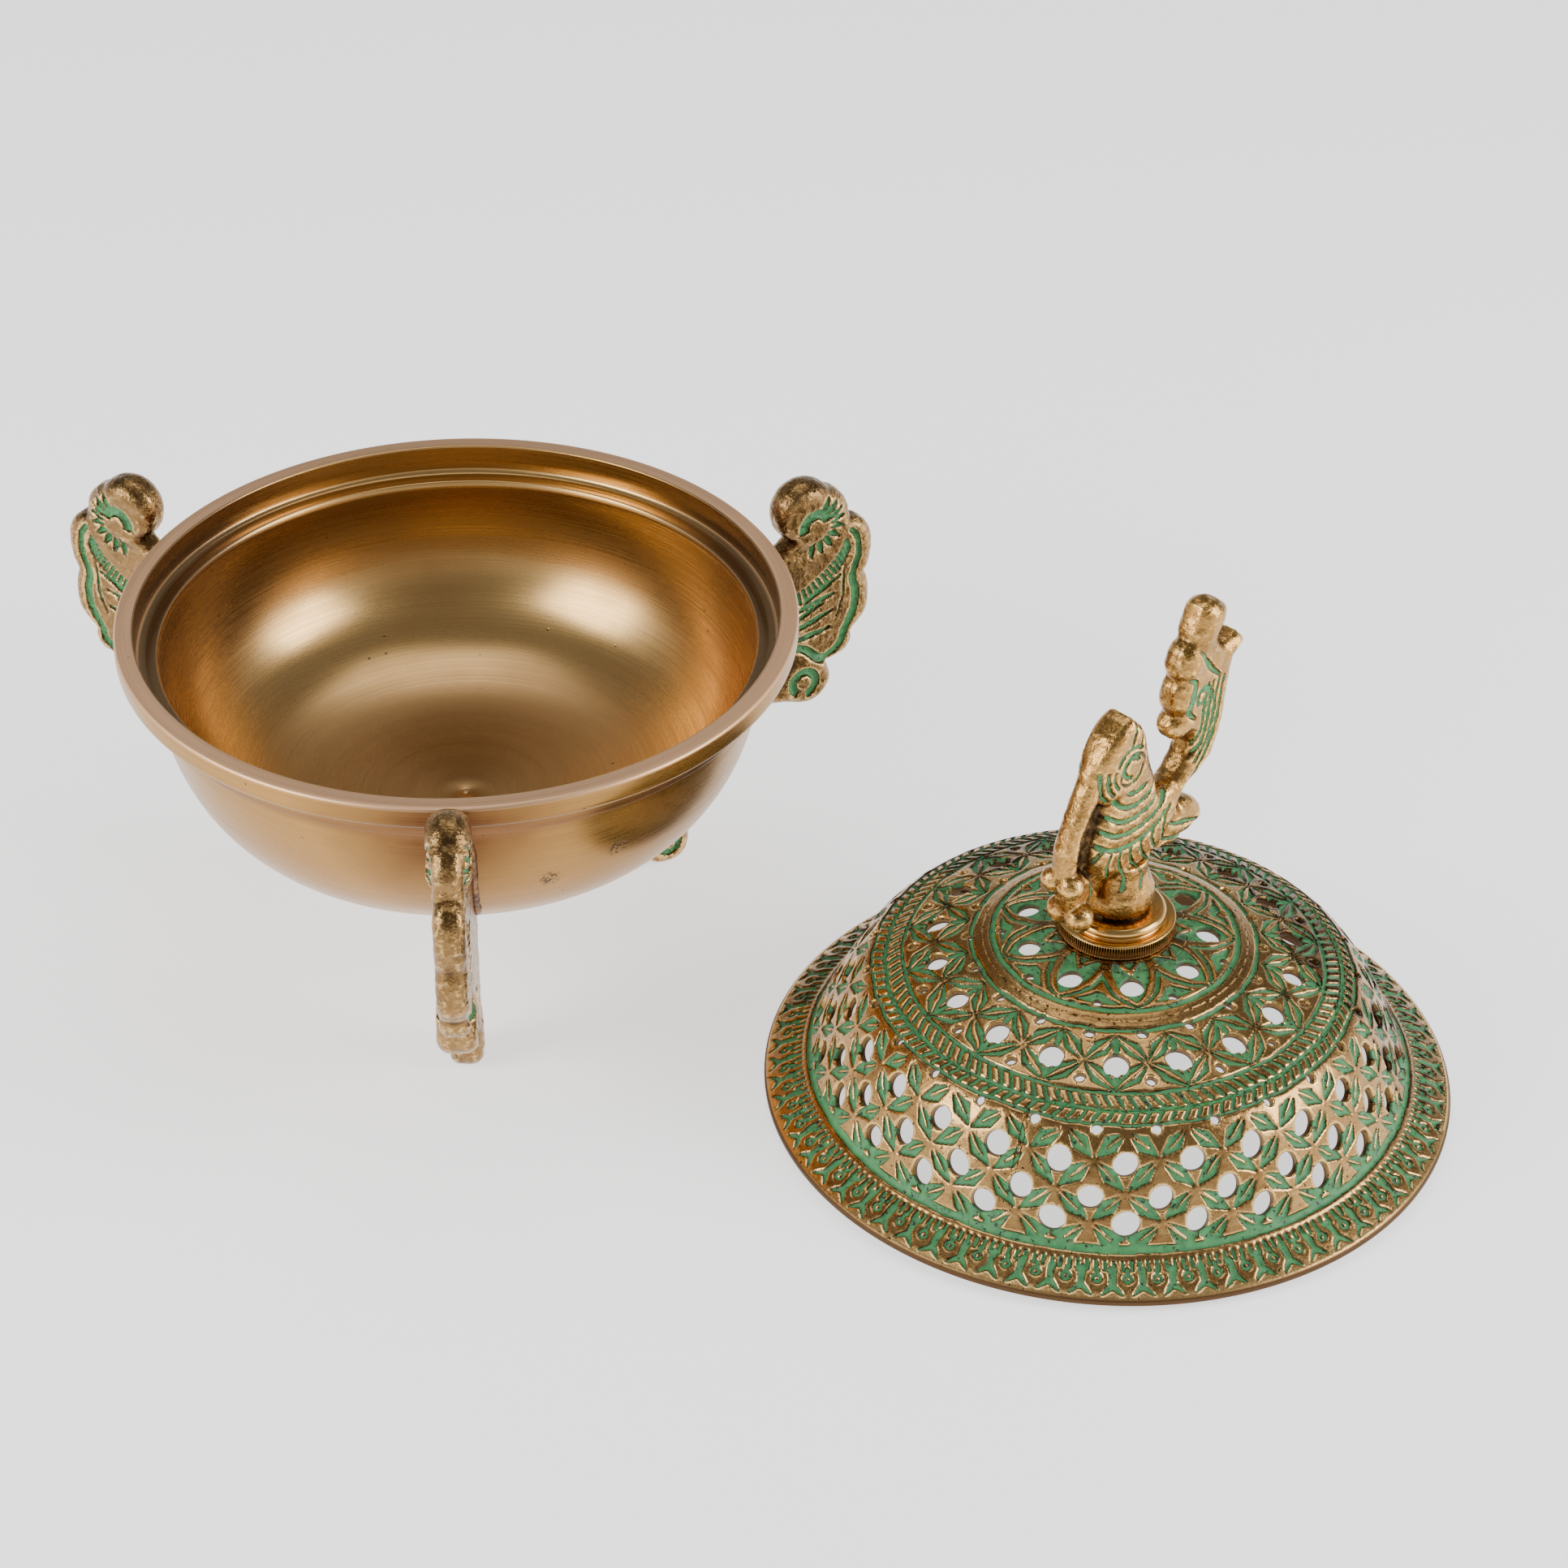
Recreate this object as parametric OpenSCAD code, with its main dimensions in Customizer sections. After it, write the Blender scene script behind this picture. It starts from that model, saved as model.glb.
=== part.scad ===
// Tripod incense burner: a turned brass bowl on three cast leaf legs, with its
// pierced dome lid, turned collar and cast bird finial standing beside it.
// Millimetres. +Z is up, the feet and the lid's rim stand on z = 0, and the
// origin is the middle of the whole set's footprint.

/* [Layout] */
// Distance between the bowl's axis and the lid's axis
axis_gap = 156; // [153:0.5:260]
// Bearing of the lid from the bowl, in degrees from +X
lid_bearing = -21.4; // [-40:0.1:0]

/* [Bowl] */
// Outer radius of the rim
rim_r = 76; // [74:0.1:78]
// Height of the rim's top above the table
rim_z = 86.4; // [84:0.1:92]
// Radius of the rebate that the lid's spigot drops into
seat_r = 71.7; // [71.2:0.1:72.2]
// Depth of the rebate's straight wall
seat_depth = 6.2; // [5:0.1:6.6]
// Largest outer radius of the bowl's body
body_r = 68.2; // [67.5:0.1:69]
// Height of the bowl's underside above the table
body_base_z = 33.2; // [30:0.1:34]
// Height of the bowl's inner floor above the table
floor_z = 37.1; // [36:0.1:42]

/* [Legs] */
// Thickness of each leg's leaf and stem
leg_t = 7.2; // [6:0.1:8]
// Thickness of each leg at its scroll knob
knob_t = 9.6; // [8:0.1:10]
// Bearing of the front leg, in degrees from +X
front_bearing = -87.2; // [-90:0.1:-84]
// Bearing of the right leg, in degrees from +X
right_bearing = 30.4; // [28:0.1:34]
// Bearing of the left leg, in degrees from +X
left_bearing = 150.7; // [148:0.1:154]
// Radius of the scroll knob at the top of the leg
knob_r = 8.3; // [7:0.1:8.5]
// Radius of the scroll foot
foot_r = 6.2; // [5:0.1:7]
// Distance of the foot from the bowl's axis
foot_reach = 51; // [48:0.5:53]
// Thickness of the brazing metal on the bowl's wall
braze_t = 1.2; // [0.8:0.1:2]

/* [Lid] */
// Outer radius of the lid's flange
flange_r = 76.2; // [75.5:0.1:77]
// Outer radius of the spigot under the flange
spigot_r = 71; // [70.5:0.1:71.1]
// Height of the spigot, which is also the flange's height off the table
spigot_h = 1.6; // [1.2:0.1:2]
// Height of the lid's crown above the table
crown_z = 43.2; // [42.6:0.1:44]
// Thickness of the lid's crown
crown_t = 2.4; // [2:0.1:3]
// Diameter of the large piercings
large_d = 5.2; // [4.5:0.1:5.6]
// Diameter of the small piercings
small_d = 2.2; // [1.8:0.1:2.6]

/* [Finial] */
// Radius of the collar's knurled ring
knurl_r = 13.6; // [12.6:0.1:13.8]
// Height of the whole collar
collar_h = 6; // [5.5:0.1:7]
// Bearing of the bird's tail, in degrees from +X
tail_bearing = 45; // [30:1:60]
// Thickness of the bird's head and body
bird_t = 9; // [8:0.1:10]
// Thickness of the bird's tail plume
plume_t = 8; // [7:0.1:9]
// Radius of the stud that holds the finial
stud_r = 3; // [2.5:0.1:3.5]

/* [Hidden] */
$fn = 96;

running = 0.05;        // radial clearance of a part that turns on the stud
axial = 0.15;          // gap between faces that turn against each other
turned_brass = "#b8894a";
cast_brass = "#8f6f45";
lid_brass = "#9a7b50";
steel = "#8c8c8c";

// ---- layout: the footprint's middle is the origin ----
leg_reach = 107.3;
lid_dx = axis_gap * cos(lid_bearing);
lid_dy = axis_gap * sin(lid_bearing);
left_reach = leg_reach * abs(cos(left_bearing)) + leg_t / 2 * sin(left_bearing);
bowl_x = (left_reach - lid_dx - flange_r) / 2;
bowl_y = (flange_r - rim_r - lid_dy) / 2;
lid_x = bowl_x + lid_dx;
lid_y = bowl_y + lid_dy;

// ---- heights that stack up on the lid ----
collar_z = crown_z + axial;
bird_z = collar_z + collar_h + axial;
washer_t = 1.2;
washer_z = crown_z - crown_t - axial - washer_t;
nut_h = 5;
stud_top_z = bird_z + 8;
stud_base_z = washer_z - nut_h - 1.5;

// A cubic curve from p to s, as a list of points
function curve(p, q, r, s, steps = 8) = [for (i = [0:steps]) let (t = i / steps, u = 1 - t)
    u * u * u * p + 3 * u * u * t * q + 3 * u * t * t * r + t * t * t * s];

// A wall that runs from radius a at height top to the axis at height base
function wall(a, top, base, bulge, round, steps) = [for (i = [0:steps])
    let (u = sin(90 * i / steps)) [a * pow(1 - pow(u, bulge), 1 / round), top - (top - base) * u]];

// ---- bowl ----
wall_top_z = 74.6;
wall_steps = 16;
lip_r = 67;
lip_z = 79.7;
outer_wall = [for (p = wall(body_r, 79, body_base_z, 2.1, 4.3, wall_steps)) if (p[1] < wall_top_z) p];
inner_wall = wall(lip_r - 0.5, lip_z - 1, floor_z, 2.1, 3.9, wall_steps);
rim_outside = concat([[rim_r - 0.5, rim_z], [rim_r, rim_z - 0.6]],
    curve([rim_r, 82.5], [rim_r, 80.2], [72.6, 81], [72.2, 78.6], 5),
    [[71.8, 76.6]], curve([71.6, 76.4], [69.4, 76.2], [68.4, 75.6], [68.2, wall_top_z], 4));

module bowl_outline() {
    seat_z = rim_z - seat_depth;
    polygon(concat([[seat_r, rim_z]], rim_outside, outer_wall,
        [for (i = [wall_steps:-1:0]) inner_wall[i]],
        [[lip_r, lip_z], [69.5, 79.2], [70.9, 79.4], [seat_r, seat_z]]));
}

// The bowl without its hollow, which is cut from whatever is brazed to it
module bowl_solid() {
    rotate_extrude() polygon(concat([[0, rim_z]], rim_outside, outer_wall));
}

module bowl() {
    color(turned_brass) translate([bowl_x, bowl_y, 0]) rotate_extrude() bowl_outline();
}

// ---- legs ----
// Outlines are drawn in the leg's own plane: x is the distance from the bowl's
// axis and y is the height above the table.
knob = [88.3, 86.3];
foot = [foot_reach, foot_r - 0.3];
lower_scroll = [89.2, 40];
lower_scroll_r = 6.4;
lower_scroll_t = 9;
scroll_step = 0.3;     // how far a scroll's thick middle stays inside its edge

// Points along an arc, from angle a to angle b
function arc(centre, radius, a, b, steps = 10) = [for (i = [0:steps])
    let (angle = a + (b - a) * i / steps) centre + radius * [cos(angle), sin(angle)]];

module leg_outline() {
    polygon(concat(
        curve([64, 77], [74, 75.5], [82, 75.5], [83.4, 78.2], 5),
        arc(knob, knob_r, 238, 25, 22),
        curve([97.8, 90], [99.8, 88.6], [100.6, 86], [100.6, 83.6], 4),
        arc([99.7, 75.5], 7.6, 78, -42), arc([100.7, 61], 6, 48, -38), arc([96.2, 50], 5.8, 42, -55),
        arc(lower_scroll, lower_scroll_r, 35, -105, 12),
        curve([80, 35.4], [72, 33], [62, 27], [57.8, 11], 8),
        [for (p = arc(foot, foot_r, 10, -190, 20)) [p[0], max(p[1], 0)]],
        curve([45.6, 12], [47, 22], [48, 30], [45, 38], 6),
        [[60, 60]]));
}

// A flat piece of a leg that stands in the leg's plane
module leg_plate(bearing, thickness) {
    rotate([0, 0, bearing]) rotate([90, 0, 0])
        linear_extrude(thickness, center = true) children();
}

module leg(bearing) {
    color(cast_brass) translate([bowl_x, bowl_y, 0]) difference() {
        union() {
            leg_plate(bearing, leg_t) leg_outline();
            leg_plate(bearing, knob_t) translate(knob) circle(knob_r - scroll_step);
            leg_plate(bearing, lower_scroll_t) translate(lower_scroll) circle(lower_scroll_r - scroll_step);
        }
        bowl_solid();
    }
}

// Brazing metal run in on both sides of a leg, along the bowl's wall
module braze(bearing) {
    seam = [for (p = outer_wall) if (p[1] > 46 && p[1] < 74) p];
    fillet_w = leg_t + 3.2;
    color(turned_brass) translate([bowl_x, bowl_y, 0]) difference() {
        intersection() {
            rotate_extrude() polygon(concat(seam,
                [for (i = [len(seam) - 1:-1:0]) seam[i] + [braze_t, -0.4]]));
            rotate([0, 0, bearing]) translate([40, -fillet_w / 2, 40]) cube([50, fillet_w, 40]);
        }
        leg_plate(bearing, leg_t) leg_outline();
    }
}

module leg_front() { leg(front_bearing); }
module leg_right() { leg(right_bearing); }
module leg_left() { leg(left_bearing); }
module braze_front() { braze(front_bearing); }
module braze_right() { braze(right_bearing); }
module braze_left() { braze(left_bearing); }

// ---- lid ----
dome = [[14, crown_z], [20, 42.2], [27.1, 40.7], [31, 39.1], [38, 37.1], [45.8, 34.4],
        [52.8, 31.2], [57, 26.6], [60.8, 19.8], [63.8, 13.7], [66.9, 7.9]];
dome_inside = [[14, crown_z - crown_t], [27, 38.2], [38, 34.6], [45.2, 32], [51.4, 29.1],
        [54.9, 25.4], [58.5, 18.9], [61.5, 12.9], [64.4, 7], [68.4, 3.4]];

// Rings of piercings: count, radius, bearing of the first, diameter
rings = [[9, 20, -82.5, large_d], [9, 24.8, -62.5, small_d],
         [18, 32.2, -83, small_d], [18, 39.4, -73, large_d], [18, 43.6, -83, small_d],
         [26, 53.6, -83.4, small_d], [26, 58.1, -90.3, large_d],
         [26, 61.5, -83.4, large_d], [26, 64, -90.3, large_d]];

function dome_z(r) = lookup(r, dome);
function dome_slope(r) = atan((dome_z(r - 0.8) - dome_z(r + 0.8)) / 1.6);

module piercings(ring) {
    for (i = [0:ring[0] - 1]) rotate([0, 0, ring[2] + i * 360 / ring[0]])
        translate([ring[1], 0, dome_z(ring[1])]) rotate([0, dome_slope(ring[1]), 0])
            cylinder(h = 9, d = ring[3], center = true);
}

module lid_outline() {
    inner = spigot_r - 2.6;
    polygon(concat([[0, crown_z]], dome, [[flange_r - 0.5, 3.2], [flange_r, 2.7],
        [flange_r, spigot_h], [spigot_r, spigot_h], [spigot_r, 0], [inner, 0]],
        [for (i = [len(dome_inside) - 1:-1:0]) dome_inside[i]], [[0, crown_z - crown_t]]));
}

module lid_dome() {
    color(lid_brass) translate([lid_x, lid_y, 0]) difference() {
        rotate_extrude() lid_outline();
        translate([0, 0, crown_z - 6]) cylinder(h = 12, r = stud_r + running);
        for (ring = rings) piercings(ring);
    }
}

// ---- collar: a knurled ring with a rounded moulding on top ----
module knurled_collar() {
    knurl_h = 3;
    bead_r = 11.4;
    color(turned_brass) translate([lid_x, lid_y, collar_z]) difference() {
        rotate_extrude() polygon(concat(
            [[0, 0], [knurl_r - 0.3, 0], [knurl_r, 0.3], [knurl_r, knurl_h - 0.3],
             [knurl_r - 0.5, knurl_h], [12.2, knurl_h + 0.2], [10.9, knurl_h + 0.5]],
            curve([bead_r - 0.3, knurl_h + 0.8], [bead_r + 0.3, 4.4], [bead_r + 0.2, 5.6], [9.6, collar_h], 6),
            [[0, collar_h]]));
        translate([0, 0, -1]) cylinder(h = collar_h + 2, r = stud_r + running);
    }
}

// ---- finial: a cast bird, drawn in the plane of its beak and tail ----
// x is the distance behind the lid's axis and y is the height above the table.
module plate(thickness) {
    rotate([0, 0, tail_bearing]) rotate([90, 0, 0])
        linear_extrude(thickness, center = true) children();
}

module knob_pair(place, radius, spread) {
    for (side = [-1, 1]) rotate([0, 0, tail_bearing])
        translate([place[0], side * spread, place[1]]) sphere(radius);
}

module head_and_body() {
    polygon(concat(
        curve([-13.2, 89], [-11.5, 95], [-6, 100.5], [-2.5, 100.5], 5),
        curve([0.7, 97.2], [4.6, 92], [4.2, 87], [6.4, 83], 4),
        [[8.4, 77], [12.9, 76.7], [16.4, 73.5], [14, 66.7]],
        curve([9, 61], [4, 58.5], [-6, 58.5], [-11.8, 61.7], 5),
        [[-13, 66.7], [-12.5, 72], [-9, 80], [-11.4, 82]]));
}

module beak() {
    polygon(concat(
        curve([-10, 93.5], [-14, 88], [-17.5, 81], [-20.3, 73], 6),
        [[-20.6, 66], [-16.2, 66]],
        curve([-15.6, 72], [-15.2, 77], [-13.6, 79], [-10.6, 82.5], 4)));
    polygon([[-20, 67], [-18.2, 55], [-13, 52.5], [-9, 58], [-12, 63], [-15.6, 67]]);
}

module plume() {
    polygon(concat(
        curve([9, 74.6], [14, 75.5], [17.5, 81], [16.9, 84], 5),
        curve([15, 85.2], [9.8, 85.4], [10.4, 91], [12.6, 91.6], 5),
        [[11.6, 96], [13.8, 100.4], [13, 104.8], [16.2, 108], [17.4, 113]],
        curve([19.2, 117.4], [22, 118.4], [25.8, 117.4], [26.6, 114.8], 5),
        [[24.6, 111.4], [24.2, 108.8], [26, 106.9], [31.4, 107.2], [33.4, 104.4]],
        curve([30.4, 100.6], [28.4, 94], [29.4, 88], [27.4, 83], 6),
        curve([25.4, 78], [21.6, 74.6], [17.4, 73.9], [13.5, 70], 5)));
}

module small_tail() {
    polygon(concat([[8, 60], [12, 68]],
        curve([15.7, 70.3], [21.6, 69.4], [25.4, 65.4], [24.2, 60.6], 6),
        [[20, 58.8], [14, 58.4]]));
}

module bulb() {
    base = bird_z;
    rotate_extrude() polygon(concat([[0, base]],
        curve([6.8, base], [8.6, base + 1.6], [8.4, base + 5], [7.2, base + 7], 7),
        [[6.2, base + 9.6], [6.2, base + 13], [0, base + 13]]));
}

module finial() {
    color(cast_brass) translate([lid_x, lid_y, 0]) difference() {
        union() {
            bulb();
            plate(bird_t) head_and_body();
            plate(5.6) beak();
            plate(plume_t) plume();
            plate(bird_t) small_tail();
            knob_pair([-18.9, 66], 3.4, 2.6);
            knob_pair([-15.3, 54.6], 3.6, 2.8);
        }
        translate([0, 0, bird_z - 1]) cylinder(h = stud_top_z - bird_z + 1, r = stud_r);
    }
}

// ---- fastening under the lid ----
module finial_stud() {
    color(steel) translate([lid_x, lid_y, stud_base_z])
        cylinder(h = stud_top_z - stud_base_z, r = stud_r);
}

module finial_washer() {
    color(steel) translate([lid_x, lid_y, washer_z]) difference() {
        cylinder(h = washer_t, r = 7);
        translate([0, 0, -1]) cylinder(h = washer_t + 2, r = stud_r);
    }
}

module finial_nut() {
    across_corners = 11.5;
    color(steel) translate([lid_x, lid_y, washer_z - nut_h]) difference() {
        cylinder(h = nut_h, d = across_corners, $fn = 6);
        translate([0, 0, -1]) cylinder(h = nut_h + 2, r = stud_r);
    }
}

bowl();
leg_front();
leg_right();
leg_left();
braze_front();
braze_right();
braze_left();
lid_dome();
knurled_collar();
finial();
finial_stud();
finial_washer();
finial_nut();
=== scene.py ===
"""Looks of a tripod incense censer: a turned brass bowl on three cast leaf legs, and its
pierced, chased lid with a cast bird. Lengths are in millimetres until a mesh is made."""
import math

import bmesh
import bpy
import numpy as np
from mathutils import Matrix, Vector


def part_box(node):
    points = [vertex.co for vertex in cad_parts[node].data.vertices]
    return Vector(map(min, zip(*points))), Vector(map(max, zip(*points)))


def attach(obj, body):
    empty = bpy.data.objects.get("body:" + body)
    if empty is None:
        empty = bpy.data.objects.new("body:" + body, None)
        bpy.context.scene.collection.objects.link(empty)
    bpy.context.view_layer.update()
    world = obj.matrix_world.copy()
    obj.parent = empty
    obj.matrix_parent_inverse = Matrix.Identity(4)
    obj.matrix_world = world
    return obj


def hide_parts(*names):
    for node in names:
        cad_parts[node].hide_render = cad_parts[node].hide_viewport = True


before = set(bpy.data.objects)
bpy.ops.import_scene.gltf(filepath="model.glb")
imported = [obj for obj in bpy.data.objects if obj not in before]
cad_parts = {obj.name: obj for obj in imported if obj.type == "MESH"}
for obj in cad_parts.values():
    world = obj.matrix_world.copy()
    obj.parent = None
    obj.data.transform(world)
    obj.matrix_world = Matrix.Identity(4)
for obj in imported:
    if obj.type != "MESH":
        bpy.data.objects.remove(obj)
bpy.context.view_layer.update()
MM = 0.001


def axis_of(node):
    """The vertical axis of a round CAD node, in millimetres."""
    lo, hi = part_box(node)
    return np.array([(lo.x + hi.x) / 2, (lo.y + hi.y) / 2, 0.0]) / MM


BOWL_AXIS = axis_of("bowl")
LID_AXIS = axis_of("knurled_collar")
LEG_BEARINGS = {"leg_front": -87.2, "leg_right": 30.4, "leg_left": 150.7}
LEG_OUT = {"leg_front": 0.0, "leg_right": 0.0, "leg_left": 1.05}  # how far each was brazed on off its mark
TAIL_BEARING = 45.0
CORNERS = list(np.ndindex(2, 2, 2))  # of a unit cube
CELL = 0.4  # of the grids that the legs and the bird are cut from


# ---- places, angles and numbers along a range ----
def round_points(radius, turn, height):
    """Points at a radius from +Z and a height, at angles in radians."""
    return np.stack(np.broadcast_arrays(radius * np.cos(turn), radius * np.sin(turn), height), -1)


def toward(bearing, reach, height=0.0):
    """The place at a bearing in degrees, by its reach from an axis and its height."""
    return round_points(reach, math.radians(bearing), height)


def around(x, y, centre):
    """Distance from a centre, and the bearing from it in degrees."""
    return np.hypot(x - centre[0], y - centre[1]), np.degrees(np.arctan2(y - centre[1], x - centre[0]))


def ease(lo, hi, x):
    """0 below lo, 1 above hi, and a smooth step between."""
    t = np.clip((x - lo) / (hi - lo), 0, 1)
    return t * t * (3 - 2 * t)


def apart(x, mark, pitch=360):
    """How far x is from the nearest of the marks that repeat each pitch."""
    return np.abs(x - mark - pitch * np.round((x - mark) / pitch))


def lattice(spot, seed):
    """A repeatable random number from -1 to 1 for each lattice point."""
    h = (spot[..., 0] * 73856093) ^ (spot[..., 1] * 19349663) ^ (spot[..., 2] * 83492791) ^ (seed * 15485863)
    h = ((h ^ (h >> 13)) * 1274126177) & 0x7FFFFFFF
    return ((h ^ (h >> 15)) & 0xFFFF) / 32767.5 - 1


def noise(points, cell, seed=0):
    """Smooth noise from -1 to 1 over points, with bumps about one cell apart."""
    q = np.asarray(points) / cell + 500
    whole = np.floor(q).astype(np.int64)
    part = q - whole
    part = part * part * (3 - 2 * part)
    total = 0
    for corner in CORNERS:
        weight = 1
        for axis, far in enumerate(corner):
            weight = weight * (part[..., axis] if far else 1 - part[..., axis])
        total = total + weight * lattice(whole + corner, seed)
    return total


# ---- flat curves and outlines: lists of (across, up) points ----
def curve(p, q, r, s, steps=8):
    """A cubic curve from p to s."""
    t = np.linspace(0, 1, steps + 1)[:, None]
    u = 1 - t
    p, q, r, s = (np.array(v, float) for v in (p, q, r, s))
    return list(u**3 * p + 3 * u * u * t * q + 3 * u * t * t * r + t**3 * s)


def arc(centre, radius, start, end, steps=12):
    """Points along an arc, with angles in degrees."""
    turn = np.radians(np.linspace(start, end, steps + 1))
    return list(np.array(centre) + radius * np.stack([np.cos(turn), np.sin(turn)], 1))


def smooth_line(points, steps=6):
    """A smooth line through points."""
    p = np.array([points[0], *points, points[-1]], float)
    out = []
    for a, b, c, d in zip(p, p[1:], p[2:], p[3:]):
        for t in np.arange(steps) / steps:
            out.append(0.5 * (2 * b + (c - a) * t + (2 * a - 5 * b + 4 * c - d) * t * t
                              + (3 * b - a - 3 * c + d) * t**3))
    return np.array([*out, p[-1]])


def soften(points, radius, steps=3):
    """points with each corner rounded by about radius."""
    p = np.array(points, float)
    out = [p[0]]
    for a, b, c in zip(p, p[1:], p[2:]):
        before, after = a - b, c - b
        la, lc = np.hypot(*before), np.hypot(*after)
        reach = min(radius, 0.4 * la, 0.4 * lc)
        start, end = b + before / la * reach, b + after / lc * reach
        for t in np.linspace(0, 1, steps + 1):
            out.append((1 - t) ** 2 * start + 2 * t * (1 - t) * b + t * t * end)
    return np.array([*out, p[-1]])


def outline_distance(x, y, outline):
    """Distance from each place to a closed outline, negative inside it."""
    best = np.full(x.shape, 1e9)
    inside = np.zeros(x.shape, bool)
    points = np.array(outline, float)
    for (ax, ay), (bx, by) in zip(points, np.roll(points, -1, axis=0)):
        ex, ey = bx - ax, by - ay
        size = ex * ex + ey * ey
        if size < 1e-9:
            continue
        t = np.clip(((x - ax) * ex + (y - ay) * ey) / size, 0, 1)
        best = np.minimum(best, (x - ax - t * ex) ** 2 + (y - ay - t * ey) ** 2)
        crosses = (ay > y) != (by > y)
        if ey:
            inside ^= crosses & (x < ax + (y - ay) * ex / ey)
    return np.where(inside, -1, 1) * np.sqrt(best)


def stroke(x, y, line, half_start, half_mid=None, half_end=None):
    """Distance to a brush stroke along line, negative inside; its half width may swell in the middle."""
    half_mid = half_start if half_mid is None else half_mid
    half_end = half_mid if half_end is None else half_end
    line = np.array(line, float)
    lengths = np.hypot(*np.diff(line, axis=0).T)
    along = np.concatenate([[0], np.cumsum(lengths)]) / lengths.sum()
    best = np.full(x.shape, 1e9)
    for (ax, ay), (bx, by), s0, s1 in zip(line, line[1:], along, along[1:]):
        ex, ey = bx - ax, by - ay
        t = np.clip(((x - ax) * ex + (y - ay) * ey) / (ex * ex + ey * ey + 1e-9), 0, 1)
        away = np.hypot(x - ax - t * ex, y - ay - t * ey)
        half = np.interp(s0 + t * (s1 - s0), [0, 0.5, 1], [half_start, half_mid, half_end])
        best = np.minimum(best, away - half)
    return best


def sunk(distance, slope):
    """How far a cut is sunk, from 0 outside its edge to 1 inside, where distance is negative inside."""
    return ease(slope * 0.5, -slope, distance)


def union(a, b, blend):
    """The nearer of two distances, with a rounded join."""
    h = np.clip(0.5 + 0.5 * (b - a) / blend, 0, 1)
    return b * (1 - h) + a * h - blend * h * (1 - h)


# ---- meshes ----
def add_mesh(name, points, faces, material, body, nodes, tones=None, turn=0.0, at=BOWL_AXIS,
             recalc=False):
    """A smooth mesh from points in millimetres, turned about +Z and moved to at, that stands for CAD
    nodes. tones holds numbers from 0 to 1 for each point, which the material reads by name."""
    c, s = math.cos(math.radians(turn)), math.sin(math.radians(turn))
    placed = (points @ np.array([[c, s, 0], [-s, c, 0], [0, 0, 1]]) + at) * MM
    mesh = bpy.data.meshes.new(name)
    mesh.from_pydata(placed.tolist(), [], [f for group in faces for f in np.asarray(group).tolist()])
    mesh.validate()
    if recalc:
        face_outwards(mesh)
    mesh.shade_smooth()
    for key, values in {**(tones or {}), "wear": wear_of(mesh)}.items():
        layer = mesh.attributes.new(key, "FLOAT", "POINT")
        layer.data.foreach_set("value", np.asarray(values, np.float32))
    mesh.materials.append(material)
    obj = bpy.data.objects.new(name, mesh)
    bpy.context.scene.collection.objects.link(obj)
    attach(obj, body)
    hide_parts(*nodes)


def face_outwards(mesh):
    """Turns every face outwards."""
    work = bmesh.new()
    work.from_mesh(mesh)
    bmesh.ops.recalc_face_normals(work, faces=work.faces)
    work.to_mesh(mesh)
    work.free()


def wear_of(mesh, reach=0.06, passes=2):
    """How proud (up to 1) or how sunk (down to -1) each point stands beside its neighbours."""
    count = len(mesh.vertices)
    points = np.empty(count * 3)
    mesh.vertices.foreach_get("co", points)
    normals = np.empty(count * 3)
    mesh.vertex_normals.foreach_get("vector", normals)
    edges = np.empty(len(mesh.edges) * 2, int)
    mesh.edges.foreach_get("vertices", edges)
    points, normals, edges = points.reshape(-1, 3) / MM, normals.reshape(-1, 3), edges.reshape(-1, 2)
    near = np.maximum(np.bincount(edges.ravel(), minlength=count), 1)

    def mean_of_neighbours(values):
        out = np.bincount(edges[:, 0], values[edges[:, 1]], count)
        return (out + np.bincount(edges[:, 1], values[edges[:, 0]], count)) / near

    lap = np.stack([mean_of_neighbours(points[:, i]) for i in range(3)], 1) - points
    proud = -(lap * normals).sum(1)
    for _ in range(passes):
        proud = 0.5 * proud + 0.5 * mean_of_neighbours(proud)
    return np.clip(proud / reach, -1, 1)


def full_turn(count):
    """Angles all the way round, in radians."""
    return np.arange(count) * 2 * np.pi / count


def lathe(profile, columns, at_angle=None):
    """Points and faces of a profile of (radius, height) turned about +Z. at_angle(profile, angle) may
    change it at each angle. The profile is a loop, or it starts and ends on the axis, at one point each."""
    profile = np.array(profile, float)
    loop = profile[0][0] > 1e-6
    rows = profile if loop else profile[1:-1]
    points = []
    for angle in full_turn(columns):
        ring = rows if at_angle is None else at_angle(rows, angle)
        points.append(round_points(ring[:, 0], angle, ring[:, 1]))
    points = np.concatenate(points)
    n = len(rows)
    i, j = np.meshgrid(np.arange(columns), np.arange(n if loop else n - 1), indexing="ij")
    nxt, up = (i + 1) % columns, (j + 1) % n
    quads = np.stack([i * n + j, nxt * n + j, nxt * n + up, i * n + up], -1).reshape(-1, 4)
    faces = [quads]
    column = np.arange(columns)
    for end, row, order in () if loop else ((0, 0, -1), (-1, n - 1, 1)):
        points = np.vstack([points, [0, 0, profile[end][1]]])
        hub = np.full(columns, len(points) - 1)
        ring = [column * n + row, (column + 1) % columns * n + row]
        faces.append(np.stack([hub, *ring[::order]], 1))
    return points, faces


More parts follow.
